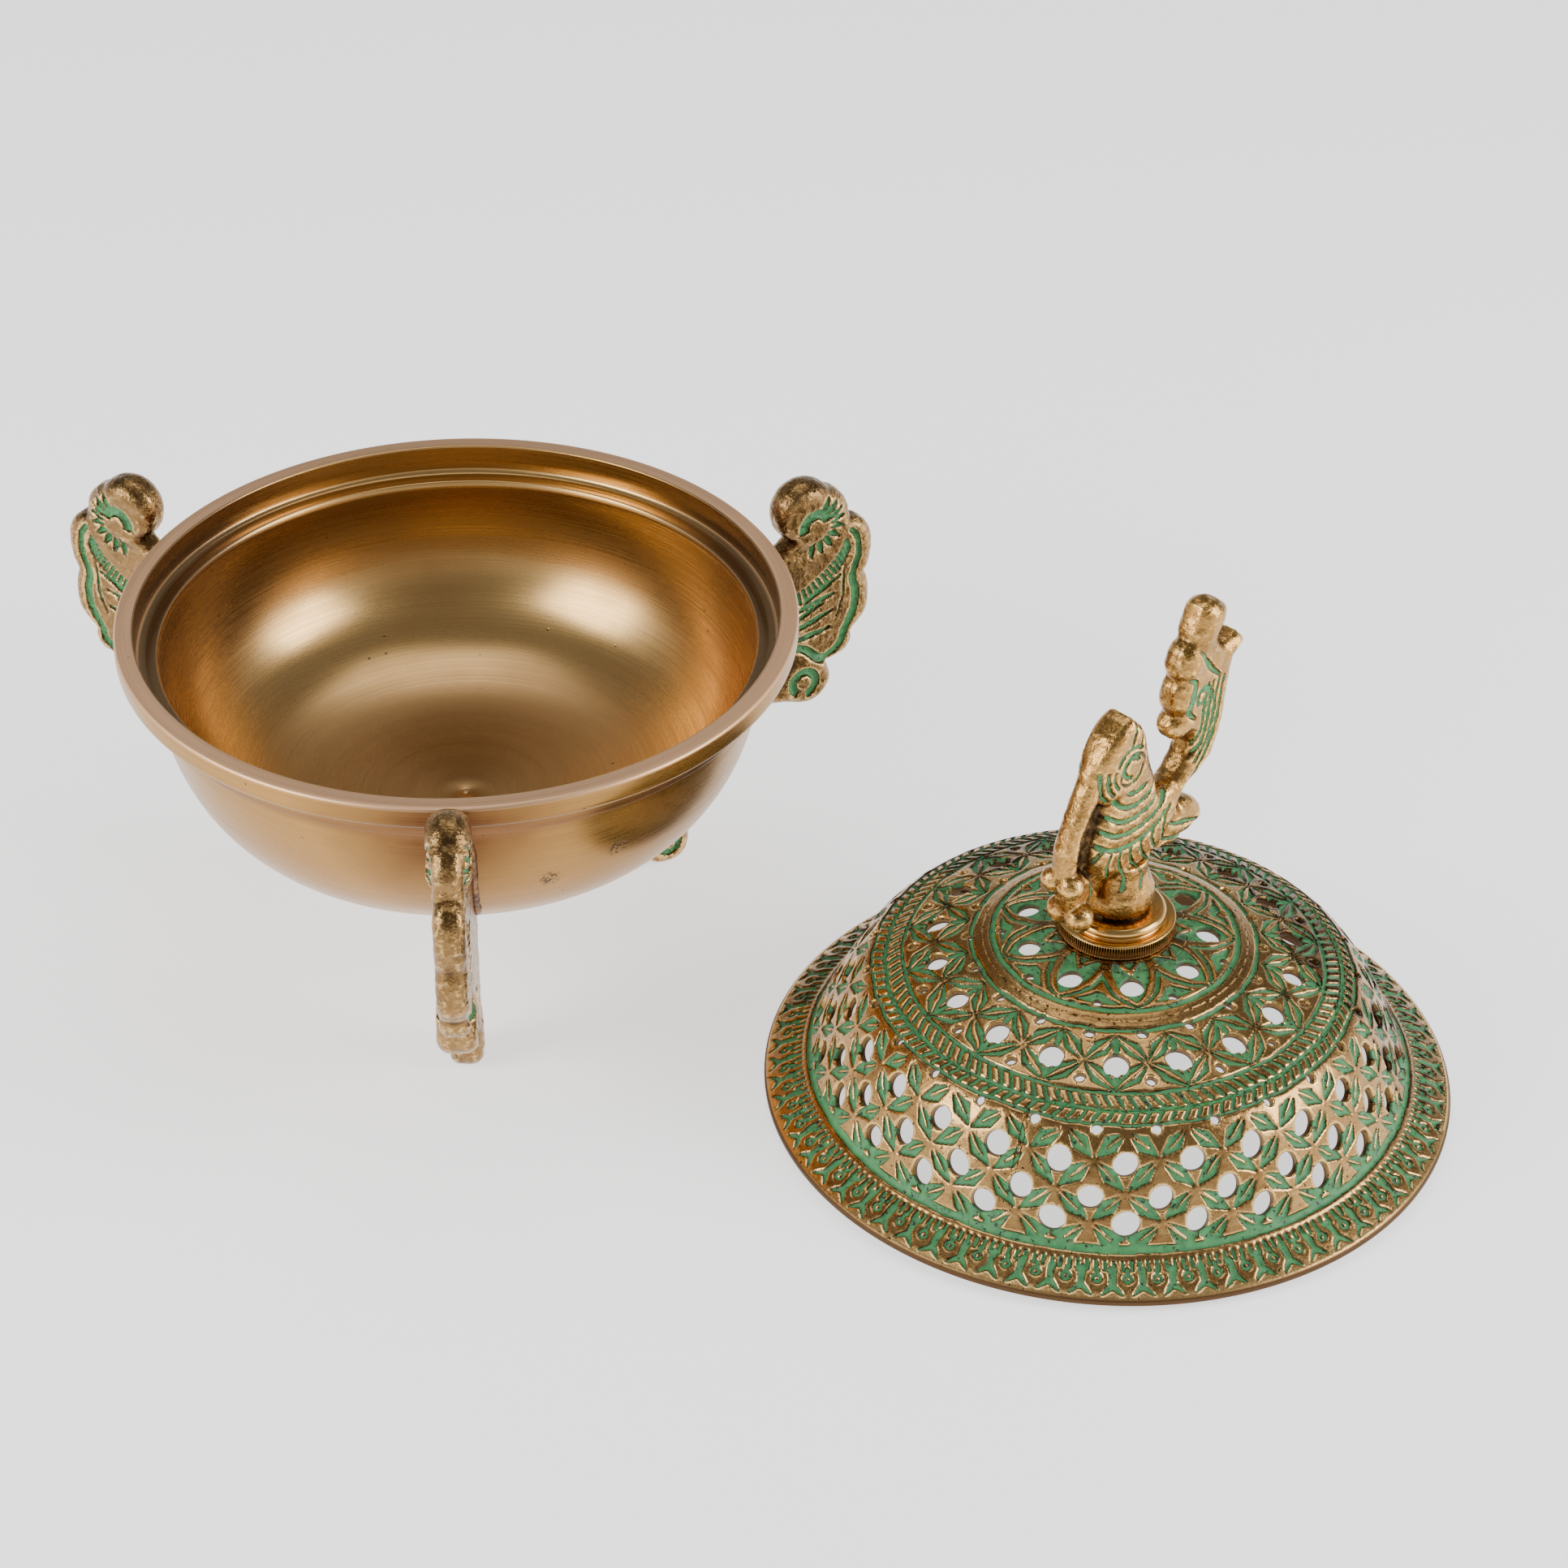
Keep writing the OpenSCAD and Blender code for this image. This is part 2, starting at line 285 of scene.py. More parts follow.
def surface_net(field, origin):
    """The surface where field is zero, as points and quads, with one point in each cell that it crosses."""
    inside = field < 0
    steps = np.array(CORNERS)
    cells = np.array(field.shape) - 1
    count = np.zeros(cells, np.int8)
    for i, j, k in steps:
        count += inside[i:i + cells[0], j:j + cells[1], k:k + cells[2]]
    mixed = np.argwhere((count > 0) & (count < 8))
    number = np.full(cells, -1)
    number[tuple(mixed.T)] = np.arange(len(mixed))
    total = np.zeros((len(mixed), 3))
    hits = np.zeros(len(mixed))
    unit = np.eye(3, dtype=int)
    for axis in range(3):
        for corner in steps[steps[:, axis] == 0]:
            a = field[tuple((mixed + corner).T)]
            b = field[tuple((mixed + corner + unit[axis]).T)]
            crossing = (a < 0) != (b < 0)
            t = np.where(crossing, a / np.where(crossing, a - b, 1), 0)
            total += crossing[:, None] * (corner + t[:, None] * unit[axis])
            hits += crossing
    points = np.array(origin) + (mixed + total / hits[:, None]) * CELL
    quads = []
    for axis in range(3):
        u, v = (axis + 1) % 3, (axis + 2) % 3
        near = np.moveaxis(inside, (axis, u, v), (0, 1, 2))
        change = np.argwhere(near[:-1, 1:-1, 1:-1] != near[1:, 1:-1, 1:-1])
        spot = np.empty_like(change)
        spot[:, axis], spot[:, u], spot[:, v] = change[:, 0], change[:, 1], change[:, 2]
        square = (0 * unit[u], unit[u], unit[u] + unit[v], unit[v])
        ring = np.stack([number[tuple((spot + corner).T)] for corner in square], 1)
        solid = near[change[:, 0], change[:, 1] + 1, change[:, 2] + 1]
        quads.append(np.where(solid[:, None], ring, ring[:, ::-1]))
    return points, [np.concatenate(quads)]


def grid(lo, hi):
    """A grid of points from lo to hi: its axes, its side view as (x, z), and its points as (x, y, z)."""
    xs, ys, zs = (np.arange(a, b + CELL, CELL) for a, b in zip(lo, hi))
    return (xs, ys, zs), np.meshgrid(xs, zs, indexing="ij"), np.meshgrid(xs, ys, zs, indexing="ij")


def sample(values, xs, ys, x, y):
    """Values of a flat grid at places x, y, read between its points."""
    i = np.clip((x - xs[0]) / (xs[1] - xs[0]), 0, len(xs) - 1.001)
    j = np.clip((y - ys[0]) / (ys[1] - ys[0]), 0, len(ys) - 1.001)
    i0, j0 = i.astype(int), j.astype(int)
    fi, fj = i - i0, j - j0
    return ((values[i0, j0] * (1 - fi) + values[i0 + 1, j0] * fi) * (1 - fj)
            + (values[i0, j0 + 1] * (1 - fi) + values[i0 + 1, j0 + 1] * fi) * fj)


def slab(flat, across, half, edge):
    """Distance to a plate of a half thickness and an edge radius, where flat is that to its outline."""
    a, b = flat + edge, across - (half - edge)
    return np.minimum(np.maximum(a, b), 0) + np.hypot(np.maximum(a, 0), np.maximum(b, 0)) - edge


def turned(outline, radii, heights, x, y, z):
    """Distance to an outline of (radius, height) turned about +Z, read from a grid of radii and heights."""
    flat = outline_distance(*np.meshgrid(radii, heights, indexing="ij"), outline)
    return sample(flat, radii, heights, np.hypot(x, y), z)


def casting(field, axes, cuts):
    """Points and faces where field is zero, how deep the side is cut at each point, and its |y|."""
    points, faces = surface_net(field, [axis[0] for axis in axes])
    return points, faces, sample(cuts, axes[0], axes[2], points[:, 0], points[:, 2]), np.abs(points[:, 1])


# ---- bowl ----
RIM_R = 75.99
RIM_Z = 86.4
SEAT_R = 71.7
WALL_TOP = 74.6


def wall(radius, top, base, bulge, square, steps=64):
    """A bowl's wall, from its top down to its middle."""
    drop = np.sin(np.radians(np.linspace(0, 90, steps + 1)))
    return [(radius * (1 - u**bulge) ** (1 / square), top - (top - base) * u) for u in drop]


def bowl_outside():
    """The outside of the bowl, from the middle of its base up to the rim's top edge."""
    side = [p for p in wall(68.2, 79, 33.2, 2.1, 4.3) if p[1] < WALL_TOP]
    rim = [(RIM_R - 0.5, RIM_Z), (RIM_R, RIM_Z - 0.6),
           *curve((RIM_R, 82.5), (RIM_R, 80.2), (72.6, 81), (72.2, 78.6)), (71.8, 76.6),
           *curve((71.6, 76.4), (69.4, 76.2), (68.4, 75.6), (68.2, WALL_TOP), 5)]
    return side[::-1], rim[::-1]


def add_bowl(material):
    side, rim = bowl_outside()
    seat = [(SEAT_R, RIM_Z), (SEAT_R, 80.2), (70.9, 79.4), (69.5, 79.2), (67, 79.7), (66.5, 78.4)]
    inside = wall(66.5, 78.7, 37.1, 2.1, 3.9)[2:-1]
    dimple = [(6, 37.12), (1.5, 37.12), (1.1, 36.9), (0.6, 36.4), (0, 36.3)]
    rim_and_seat = soften([side[-1], *rim, *seat, inside[0]], 0.4)
    profile = [*side[:-1], *rim_and_seat, *inside[1:], *dimple]
    points, faces = lathe(profile, 288)
    reach = np.hypot(points[:, 0], points[:, 1])
    outside = np.interp(points[:, 2], [p[1] for p in side], [p[0] for p in side])
    outer = ((reach > outside - 0.6) & (points[:, 2] < 79.05)) | (reach > SEAT_R + 1)
    add_mesh("turned_bowl", points, faces, material, "bowl_set", ["bowl"], {"outer": outer})


# ---- legs: drawn in the leg's own plane, as (distance from the bowl's axis, height) ----
KNOB = (88.8, 86)
KNOB_CURL = (90.2, 83)
SCROLL = (89.2, 40)
FOOT = (51, 5.9)
LEG_HALF = 3.6
CUT_DEPTH = 1.15
LEG = [*curve((64, 77), (74, 75.5), (82, 75.5), (83.4, 78.2), 5), *arc(KNOB, 8.0, 238, 40, 20),
       *smooth_line([(96.8, 90.2), (98.9, 88.3), (100.3, 85.6), (100.7, 82.8)], 3),
       *smooth_line([(101.2, 81.4), (103.6, 80.7), (105.6, 78.8), (106.8, 75.6), (106.9, 71.6),
                     (106.2, 68)], 4),
       *smooth_line([(105.2, 65.4), (106, 63), (106.4, 59.4), (106.1, 56), (105, 53.4), (103.4, 51.6)], 4),
       *smooth_line([(101.6, 50), (101.8, 48), (101, 45.8), (99.2, 44.4), (97, 43.8), (95.2, 43.4)], 3),
       *arc(SCROLL, 6.4, 35, -105), *curve((80, 35.4), (72, 33), (62, 27), (57.8, 11)),
       *[(x, max(z, 0)) for x, z in arc(FOOT, 6.2, 10, -190, 20)],
       *curve((45.6, 12), (47, 22), (48, 30), (45, 38), 6), (60, 60)]


def curl(x, z, centre, inner, outer, opening, open_half):
    """A sunk ring round a raised boss, open over a range of angles where the boss joins its scroll."""
    reach, turn = around(x, z, centre)
    ring = np.abs(reach - (inner + outer) / 2) - (outer - inner) / 2
    return np.maximum(ring, (open_half - apart(turn, opening)) * math.radians(1) * reach)


def leg_cuts(x, z):
    """How far the side of a leg is cut: 0 on its ribs, 1 in its green ground."""
    groove = smooth_line([(100.6, 78.6), (102.2, 76), (102.6, 71.6), (101, 65.8), (101.9, 61), (101.2, 56),
                          (99.2, 52), (98, 48.6), (95, 45.9), (92, 45.6), (88.6, 48.6), (86, 50)])
    stem = smooth_line([(78, 37.6), (70, 34), (60.5, 27), (54.5, 16.5), (52, 11)])
    strokes = [(groove, 0.6, 1.15, 1.0), (stem, 0.3, 0.8, 0.3),
               (smooth_line([(99, 72), (98.6, 66), (98.4, 61), (96.6, 56)]), 0.15, 0.35, 0.15)]
    # the rays round the outer side of the knob's curl
    for k in range(9):
        ray = np.array([np.cos(np.radians(62 - 19.5 * k)), np.sin(np.radians(62 - 19.5 * k))])
        ends = [KNOB_CURL + ray * reach for reach in (3.6 + 0.12 * k, 7.4 + 0.17 * k)]
        strokes.append((ends, 0.3, 0.95, 0.35))
    # the teeth between the double rib
    upper = smooth_line([(84, 65), (88.6, 66.8), (93.4, 69.8), (97, 73.4), (99.4, 77.4)], 4)
    lower = smooth_line([(84.6, 61), (90, 63.2), (95.4, 66.8), (98.8, 70.6), (100.4, 74)], 4)
    for a, b in zip(upper[:-1], lower[:-1]):
        strokes.append(([a * 0.86 + b * 0.14, a * 0.1 + b * 0.9], 0.45, 0.5, 0.55))
    # the fan
    for start, end, half in (((83.6, 51.8), (95, 53.4), 0.85), ((84.4, 54.6), (95.6, 58.2), 0.85),
                             ((85, 57.6), (93, 60.8), 0.6), ((86, 60), (96, 62.6), 0.8),
                             ((88, 62), (97.6, 67.2), 0.7)):
        strokes.append(([start, end], 0.5, half, 0.25))
    _, turn = around(x, z, KNOB_CURL)
    knob_curl = curl(x, z, KNOB_CURL, 2.0, 4.6, 232, 34)
    cuts = [np.maximum(knob_curl, (apart(turn, 110) - 92) * 0.06),
            curl(x, z, (87.6, 40.2), 2.0, 4.1, 255, 22), curl(x, z, (51, 6.2), 1.6, 3.4, 100, 30)]
    return sunk(np.minimum.reduce(cuts + [stroke(x, z, *each) for each in strokes]), 0.5)


def leg_half(x, z):
    """Half the thickness of a leg: the scrolls are thicker than the leaf."""
    half = LEG_HALF
    for centre, radius, more in ((KNOB, 7.4, 1.3), (SCROLL, 6, 0.9), (FOOT, 6, 0.4)):
        half = half + more * ease(radius + 2, radius - 1, around(x, z, centre)[0])
    return half


def leg_shape():
    """Points, faces and tones of one leg, in its own plane."""
    axes, flat, (x, y, z) = grid((43, -5.8, -1.2), (108.4, 5.8, 95.8))
    cuts = leg_cuts(*flat)
    edge = 2.7 + 1.5 * ease(9.5, 6.5, around(*flat, KNOB)[0])
    half = leg_half(*flat) - CUT_DEPTH * cuts
    outline = outline_distance(*flat, LEG)
    field = slab(outline[:, None, :], np.abs(y), half[:, None, :], edge[:, None, :])
    places = np.stack([x, y, z], -1)
    rough = 1 - 0.7 * ease(87, 92, z)
    field += rough * (0.12 * (1 + noise(places, 1.5, 1)) + 0.09 * (1 + noise(places, 0.8, 2)))
    side, rim = bowl_outside()
    bowl = turned([*side[::2], *rim, (0, RIM_Z)], np.arange(0, 112, 0.5), np.arange(-2, 97, 0.5), x, y, z)
    field = np.maximum.reduce([field, -1.5 - bowl, -z])
    points, faces, depth, across = casting(field, axes, cuts)
    # painted shade where the leg is thin: along its narrow sides and a little in its deep ground, in broad
    # patches, fading out above 84 mm
    painted_shade = ease(0.2, 0.8, noise(points, 9, 3)) * ease(2.9, 1.4, across) * ease(88, 84, points[:, 2])
    return points, faces, {"green": depth * ease(1.2, 2.0, across), "painted_shade": painted_shade}


def add_braze(name, bearing, material):
    """A bead of brazing metal down each side of a leg, on the bowl's wall."""
    side, _ = bowl_outside()
    seam = smooth_line([p for p in side if 44 < p[1] < 73][::4], 4)
    sides = 10
    rows = len(seam) * sides
    beads, faces, caps = [], [], []
    for across in (-LEG_HALF - 0.2, LEG_HALF + 0.2):
        base = len(beads) * sides
        for k, (r, z) in enumerate(seam):
            middle = np.array([math.sqrt(r * r - across * across) + 0.1, across, z])
            taper = min(1, 0.25 + 0.25 * min(k, len(seam) - 1 - k))
            size = 1.1 * taper * (1 + 0.25 * noise(middle, 1.8, 5))
            beads.append(middle + round_points(size, full_turn(sides), 0))
        for k in range(0, rows - sides, sides):
            for i in range(sides):
                a, b = base + k + i, base + k + (i + 1) % sides
                faces.append((a, b, b + sides, a + sides))
        caps += [[*range(base, base + sides)][::-1], [*range(base + rows - sides, base + rows)]]
    add_mesh(name.replace("braze", "brazing"), np.concatenate(beads), [faces, caps], material, "bowl_set",
             [name], turn=bearing, recalc=True)


# ---- finial: drawn in the plane of its beak and tail, as (distance behind the lid's axis, height) ----
BIRD_BASE = 49.5
EYE = (-3, 88.5)
NECK = (-1, 86)
SPIRAL = (19.3, 95.2)
HEAD = [*curve((-13.2, 89), (-11.5, 95), (-6, 100.5), (-2.5, 100.5), 5),
        *curve((0.7, 97.2), (4.6, 92), (4.2, 87), (6.4, 83), 4), (8.4, 77), (12.9, 76.7), (16.4, 73.5),
        (14, 66.7), *curve((9, 61), (4, 58.5), (-6, 58.5), (-11.8, 61.7), 5), (-13, 66.7), (-12.5, 72),
        (-9, 80), (-11.4, 82)]
BEAK = [*curve((-8, 97), (-14, 89.5), (-17.7, 81), (-20.5, 73), 6), (-20.8, 66), (-16.2, 66),
        *curve((-15.6, 72), (-15.2, 77), (-13.6, 79), (-10.6, 82.5), 4)]
WEB = [(-10.5, 83), (-14.5, 78), (-17.5, 70), (-15, 60), (-11, 60), (-9, 70), (-9, 80)]
BEAK_STEM = [(-20, 67), (-18.2, 55), (-13, 52.8), (-9, 58), (-12, 63), (-15.6, 67)]
PLUME = [*curve((9, 74.6), (14, 75.5), (17.8, 81), (17.6, 84), 5),
         *curve((16, 87), (13.2, 86.5), (12.4, 88.5), (13.6, 91.6), 5),
         (13.4, 96), (14.6, 99.6), (14.6, 104), (17, 107.4), (18, 113),
         *curve((19.4, 117.2), (22, 118.4), (26, 117.4), (27.4, 114.6), 5),
         (25.4, 110.8), (24.8, 108), (26.6, 105.8), (31.6, 106.4), (34.4, 103.8),
         *curve((30.4, 100.6), (28.4, 94), (29.4, 88), (27.4, 83), 6),
         *curve((25.4, 78), (21.6, 74.6), (17.4, 73.9), (13.5, 70), 5)]
PLUME_BALLS = [((20.4, 110.4), 3.6), ((22.6, 113.3), 3.9), ((17.2, 106), 3.5), ((16.4, 103.4), 3.6),
               ((15.6, 98), 3.4), ((15.2, 95.4), 3.5), ((14, 89.4), 3.0)]
TAIL = [(8, 60), (12, 67), *curve((15.7, 69.6), (21.6, 69.4), (25.4, 65.4), (24.2, 61.6), 6), (20, 60),
        (14, 58.6)]
BULB = [(0, BIRD_BASE), *curve((6.8, BIRD_BASE), (8.6, 51.1), (8.4, 54.5), (7.2, 56.5)), (6.2, 59.1),
        (6.2, 62.5), (0, 62.5)]


def bird_cuts(x, z):
    """How far the side of the bird is cut: 0 on its ribs, 1 in its green ground."""
    from_eye, eye_turn = around(x, z, EYE)
    from_neck, _ = around(x, z, NECK)

    def eye_ring(radius, half, bearing, reach):
        """A ring round the eye, over the angles up to reach from bearing."""
        return np.maximum(np.abs(from_eye - radius) - half, apart(eye_turn, bearing) - reach)

    # the eye's C is open towards 330 degrees
    cuts = [eye_ring(2.4, 0.55, 150, 120), eye_ring(4.9, 0.45, 105, 52)]
    cuts += [eye_ring(radius, 0.42, 196, 28) for radius in (5.4, 7.2, 9.0)]
    # the rings of the neck, and the scale feathers in columns that fan out below it
    on_body = np.maximum.reduce([z - 82.5, x - 10.5, -13.2 - x, from_neck - 19])
    cuts.append(np.maximum(apart(from_neck, 4.6, 3.35) - 0.62, on_body))
    fan = np.degrees(np.arctan2(x + 1, 112 - z))
    feather = apart(fan, -1.2 * np.sin(z * 0.5), 4.4) * np.radians(1) * (112 - z) - 0.42
    cuts.append(np.maximum.reduce([feather, 18.4 - from_neck, z - 72, 57 - z, x - 11, -13 - x]))
    spiral = [SPIRAL + toward(a - 40, 3.3 - 0.0075 * a)[:2] for a in range(0, 380, 20)]
    strokes = [
        (smooth_line([(-6.6, 86.2), (-5.6, 89.6), (-3.4, 91.4), (-0.8, 91.2), (1, 89.4)]), 0.2, 0.55, 0.2),
        (smooth_line([(-6.6, 86.2), (-4.6, 84.6), (-2, 84.8), (-0.2, 86.6), (1, 89.4)]), 0.2, 0.45, 0.2),
        ([(-3.6, 93.8), (-1.6, 99)], 0.3, 0.5, 0.2),
        ([(-0.8, 92.6), (1, 96.6)], 0.3, 0.5, 0.2),
        (spiral, 0.75, 0.75, 0.3),
        (smooth_line([(17.4, 91), (15.2, 93.6), (16, 97), (17, 100), (15.6, 101.4)]), 0.4, 1.0, 0.5),
        (smooth_line([(24.8, 99), (21.4, 102.4), (18, 107.6)]), 0.3, 0.75, 0.3),
        ([(11.6, 65.8), (21.6, 62.6)], 0.3, 0.6, 0.3),
        ([(10.4, 62.4), (19, 60.2)], 0.3, 0.5, 0.3)]
    # the plume's long grooves
    for inset, start in ((0, 0), (1.7, 1), (3.4, 1), (5.0, 2)):
        line = [(15.7 - inset * 0.4, 73.4 + inset), (20 - inset, 78.2 + inset * 0.6), (23.2 - inset, 83.4),
                (24.9 - inset, 89), (25.4 - inset, 94), (26.2 - inset, 98.4)]
        strokes.append((smooth_line(line[start:]), 0.3, 0.62, 0.35))
    return sunk(np.minimum.reduce(cuts + [stroke(x, z, *each) for each in strokes]), 0.55)


def finial_shape():
    """Points, faces and tones of the bird, about the lid's axis with its tail towards +X."""
    axes, flat, (x, y, z) = grid((-25.2, -9.4, BIRD_BASE - 0.8), (35, 9.4, 119))
    cuts = bird_cuts(*flat)
    across = np.abs(y)

    def plate(outline, half, edge, cut=0.0):
        distance = outline_distance(*flat, outline)[:, None, :]
        return slab(distance, across + cut * cuts[:, None, :], half, edge)

    def ball(place, radius, side):
        return np.sqrt((x - place[0]) ** 2 + (across - side) ** 2 + (z - place[1]) ** 2) - radius

    field = plate(HEAD, 4.5, 2.7 + 1.6 * ease(97, 88, z), 0.75)
    for outline, half, edge, blend in ((BEAK, 3.2, 2.9, 1.4), (WEB, 0.9, 0.5, 0.6),
                                       (BEAK_STEM, 2.6, 1.2, 1.0)):
        field = union(field, plate(outline, half, edge), blend)
    plume = plate(PLUME, 4.0, 3.2, 0.75)
    for place, radius in PLUME_BALLS:
        plume = union(plume, ball(place, radius, 0.5), 1.4)
    field = union(field, plume, 1.0)
    field = union(field, plate(TAIL, 3.4, 3.0, 0.75), 1.0)
    for place, radius, side in (((-18.7, 64.4), 3.1, 2.3), ((-15.6, 54.9), 3.4, 2.5)):
        field = union(field, ball(place, radius, side), 0.7)
    field = union(field, turned(BULB, np.arange(0, 40, 0.4), axes[2], x, y, z), 1.0)
    places = np.stack([x, y, z], -1)
    field += 0.09 * (1 + noise(places, 1.4, 11)) + 0.06 * (1 + noise(places, 0.7, 12))
    points, faces, depth, side = casting(np.maximum(field, BIRD_BASE - z), axes, cuts)
    # painted shade on the thin web under the beak and just round it
    hollow = ease(2.6, 1.4, side) * ease(1.5, -0.5, outline_distance(points[:, 0], points[:, 2], WEB))
    return points, faces, {"green": depth * ease(1.6, 2.6, side), "painted_shade": hollow}


# ---- lid: a point on it is (angle in degrees, arc length from the collar, in millimetres) ----
CROWN_Z = 43.2
FLANGE_R = 76.19
STUD_HOLE_R = 3.1
RELIEF = 0.7
DOME = [(14, 43.2), (20, 42.2), (27.1, 40.7), (31, 39.1), (38, 37.1), (45.8, 34.4), (52.8, 31.2), (57, 26.6),
        (60.8, 19.8), (63.8, 13.7), (66.9, 7.9), (71.2, 5.6), (75.6, 3.2)]
DOME_START = 1.1
LARGE_R = 2.75
SMALL_R = 1.2
# Rings of piercings: count, radius, bearing of the first, hole radius
RINGS = [(9, 20, -82.5, LARGE_R), (9, 24.8, -62.5, SMALL_R), (18, 32.2, -83, SMALL_R),
         (18, 39.4, -73, LARGE_R), (18, 43.6, -83, SMALL_R), (26, 53.6, -83.4, SMALL_R),
         (26, 58.1, -90.3, LARGE_R), (26, 61.5, -83.4, LARGE_R), (26, 64, -90.3, LARGE_R)]

dome_line = smooth_line([(13, CROWN_Z), *DOME], 10)[10:]
dome_along = DOME_START + np.concatenate([[0], np.cumsum(np.hypot(*np.diff(dome_line, axis=0).T))])
RIM_S = dome_along[-1]


def dome_at(s):
    """Radius, height and outward normal (radial, up) of the lid's face at arc length s."""
    flat = s < DOME_START
    r = np.where(flat, dome_line[0][0] + s - DOME_START, np.interp(s, dome_along, dome_line[:, 0]))
    z = np.where(flat, CROWN_Z, np.interp(s, dome_along, dome_line[:, 1]))
    h = 0.6
    dr = np.interp(s + h, dome_along, dome_line[:, 0]) - np.interp(s - h, dome_along, dome_line[:, 0])
    dz = np.interp(s + h, dome_along, dome_line[:, 1]) - np.interp(s - h, dome_along, dome_line[:, 1])
    size = np.maximum(np.hypot(dr, dz), 1e-6)
    return r, z, np.where(flat, 0, -dz / size), np.where(flat, 1, dr / size)


def medallion_cuts(theta, s, r):
    """Nine petals round the collar, with a triangle between each pair."""
    a = apart(theta, -82.5, 40)
    half = np.interp(s, [0, 2.5, 5, 8, 10, 11.5, 12.7, 13.5], [19, 18.3, 15.5, 11, 7.5, 3.6, 0, -4])
    petal = np.radians(a - half) * r * 0.85
    spike = np.radians(a) * r - np.interp(s, [-5, 0, 4.9], [4.4, 2.8, -0.6])
    spike_rib = np.abs(spike + 0.5) - 0.55
    inside = np.maximum.reduce([petal + 0.75, -spike_rib, 0.4 - s])
    groove = np.maximum.reduce([np.abs(petal - 1.15) - 0.45, s - 13.6, 0.8 - s])
    triangle = np.maximum.reduce([2.9 - petal, s - 12.4, 9.2 - s])
    return np.minimum.reduce([inside, groove, triangle])


def star_cuts(theta, s, r):
    """Eighteen four-leaf stars, with a diamond round each large piercing between them."""
    turn = apart(theta, -83, 20)
    a, b = np.radians(turn) * r, np.radians(10 - turn) * r
    middle, top, bottom = 27.1, 20.4, 33.9
    cuts = []
    for apex in (top, bottom):
        reach = np.radians(10) * dome_at(apex)[0]
        line = [(0, middle), (reach, apex)]
        leaf = stroke(a, s, line, 0.05, 0.62, 0.05)
        cuts.append(np.maximum(stroke(a, s, line, 0.15, 2.0, 0.4), 0.05 - leaf))
    cuts.append(stroke(b, s, [(0, 21.4), (0, 24.5)], 0.4, 0.75, 0.6))
    cuts.append(stroke(b, s, [(0, 30.0), (0, 33.4)], 0.65, 0.65, 0.4))
    return np.minimum.reduce(cuts)


def rope_cuts(theta, s, r):
    """Two rows of slanted bars that lean against each other, with a line above, between and below."""
    cuts = [np.abs(s - middle) - half for middle, half in ((34.6, 0.38), (38.7, 0.48), (41.9, 0.35))]
    for count, middle, half, lean in ((114, 36.6, 1.5, 0.55), (118, 40.3, 1.2, -0.6)):
        u = np.radians(apart(theta, np.degrees(lean * (s - middle) / r), 360 / count)) * r
        cuts.append(np.maximum(u - 0.5, np.abs(s - middle) - half))
    return np.minimum.reduce(cuts)


def lattice_cuts(theta, s, r):
    """Leaves along every side of a lattice of diamonds, with a piercing in each diamond."""
    half = 180 / 26
    a = np.radians(apart(theta, -90.3, 2 * half)) * r
    cuts = []
    nodes = [(0, 43.2), (half, 49.3), (0, 56.3), (half, 62.8), (0, 69.3)]
    for (t0, s0), (t1, s1) in zip(nodes, nodes[1:]):
        p = np.array([math.radians(t0) * dome_at(s0)[0], s0])
        q = np.array([math.radians(t1) * dome_at(s1)[0], s1])
        leaf = stroke(a, s, [p * 0.9 + q * 0.1, p * 0.1 + q * 0.9], 0.3, 1.9, 0.3)
        rib = stroke(a, s, [p * 0.92 + q * 0.08, p * 0.35 + q * 0.65], 0.3, 0.28, 0.1)
        cuts.append(np.maximum(leaf, 0.05 - rib))
    low_leaf = stroke(a, s, [(0.3, 64.5), (2.2, 67)], 0.6, 1.4, 0.6)
    cuts += [np.abs(s - 68.6) - 0.85, np.maximum(low_leaf, 64 - s)]
    return np.minimum.reduce(cuts)


def border_cuts(theta, s, r):
    """A row of short teeth, then seventy petals with a ring in each."""
    tooth = np.radians(apart(theta, 0, 360 / 234)) * r
    pitch = 360 / 70
    turn = apart(theta, 0, pitch)
    a, b = np.radians(turn) * r, np.radians(pitch / 2 - turn) * r
    reach = math.radians(pitch / 2) * 75 - 0.9
    from_ring = np.hypot(b, s - 74.9)
    return np.minimum.reduce([
        np.maximum(tooth - 0.42, np.abs(s - 72) - 1.3),
        stroke(a, s, [(0, 73), (0, 76.8)], 0.95, 0.75, 0.7),
        stroke(a, s, [(0, 76.4), (reach * 0.5, 77.5), (reach, 78.8)], 0.7, 0.5, 0.12),
        np.abs(from_ring - 0.8) - 0.4,
        stroke(b, s, [(0, 72.8), (0, 74)], 0.5),
    ])


def lid_cuts(theta, s, r):
    """How far the lid's face is chased away: 0 on the raised bronze, 1 in the green ground."""
    place = round_points(r, np.radians(theta), s)
    amount = 0.16 + 0.16 * ease(70, 60, s)
    across = np.degrees((amount * noise(place, 4.5, 21) + 0.1 * noise(place, 1.3, 22)) / np.maximum(r, 5))
    along = amount * noise(place, 4.5, 23) + 0.1 * noise(place, 1.3, 24)
    theta, s = theta + across, s + along
    zones = [(-1, 13.4, medallion_cuts), (19.5, 34, star_cuts), (34, 42.4, rope_cuts),
             (42.6, 69.5, lattice_cuts), (70.6, 79.4, border_cuts)]
    cut = np.minimum(np.abs(s - 14.1) - 0.65, np.abs(s - 18.9) - 0.5)
    for lo, hi, zone in zones:
        within = (s > lo) & (s < hi)
        cut[within] = np.minimum(cut[within], zone(theta[within], s[within], r[within]))
    depth = 0.85 + 0.15 * noise(place, 6.0, 25)
    return sunk(cut, 0.3) * depth


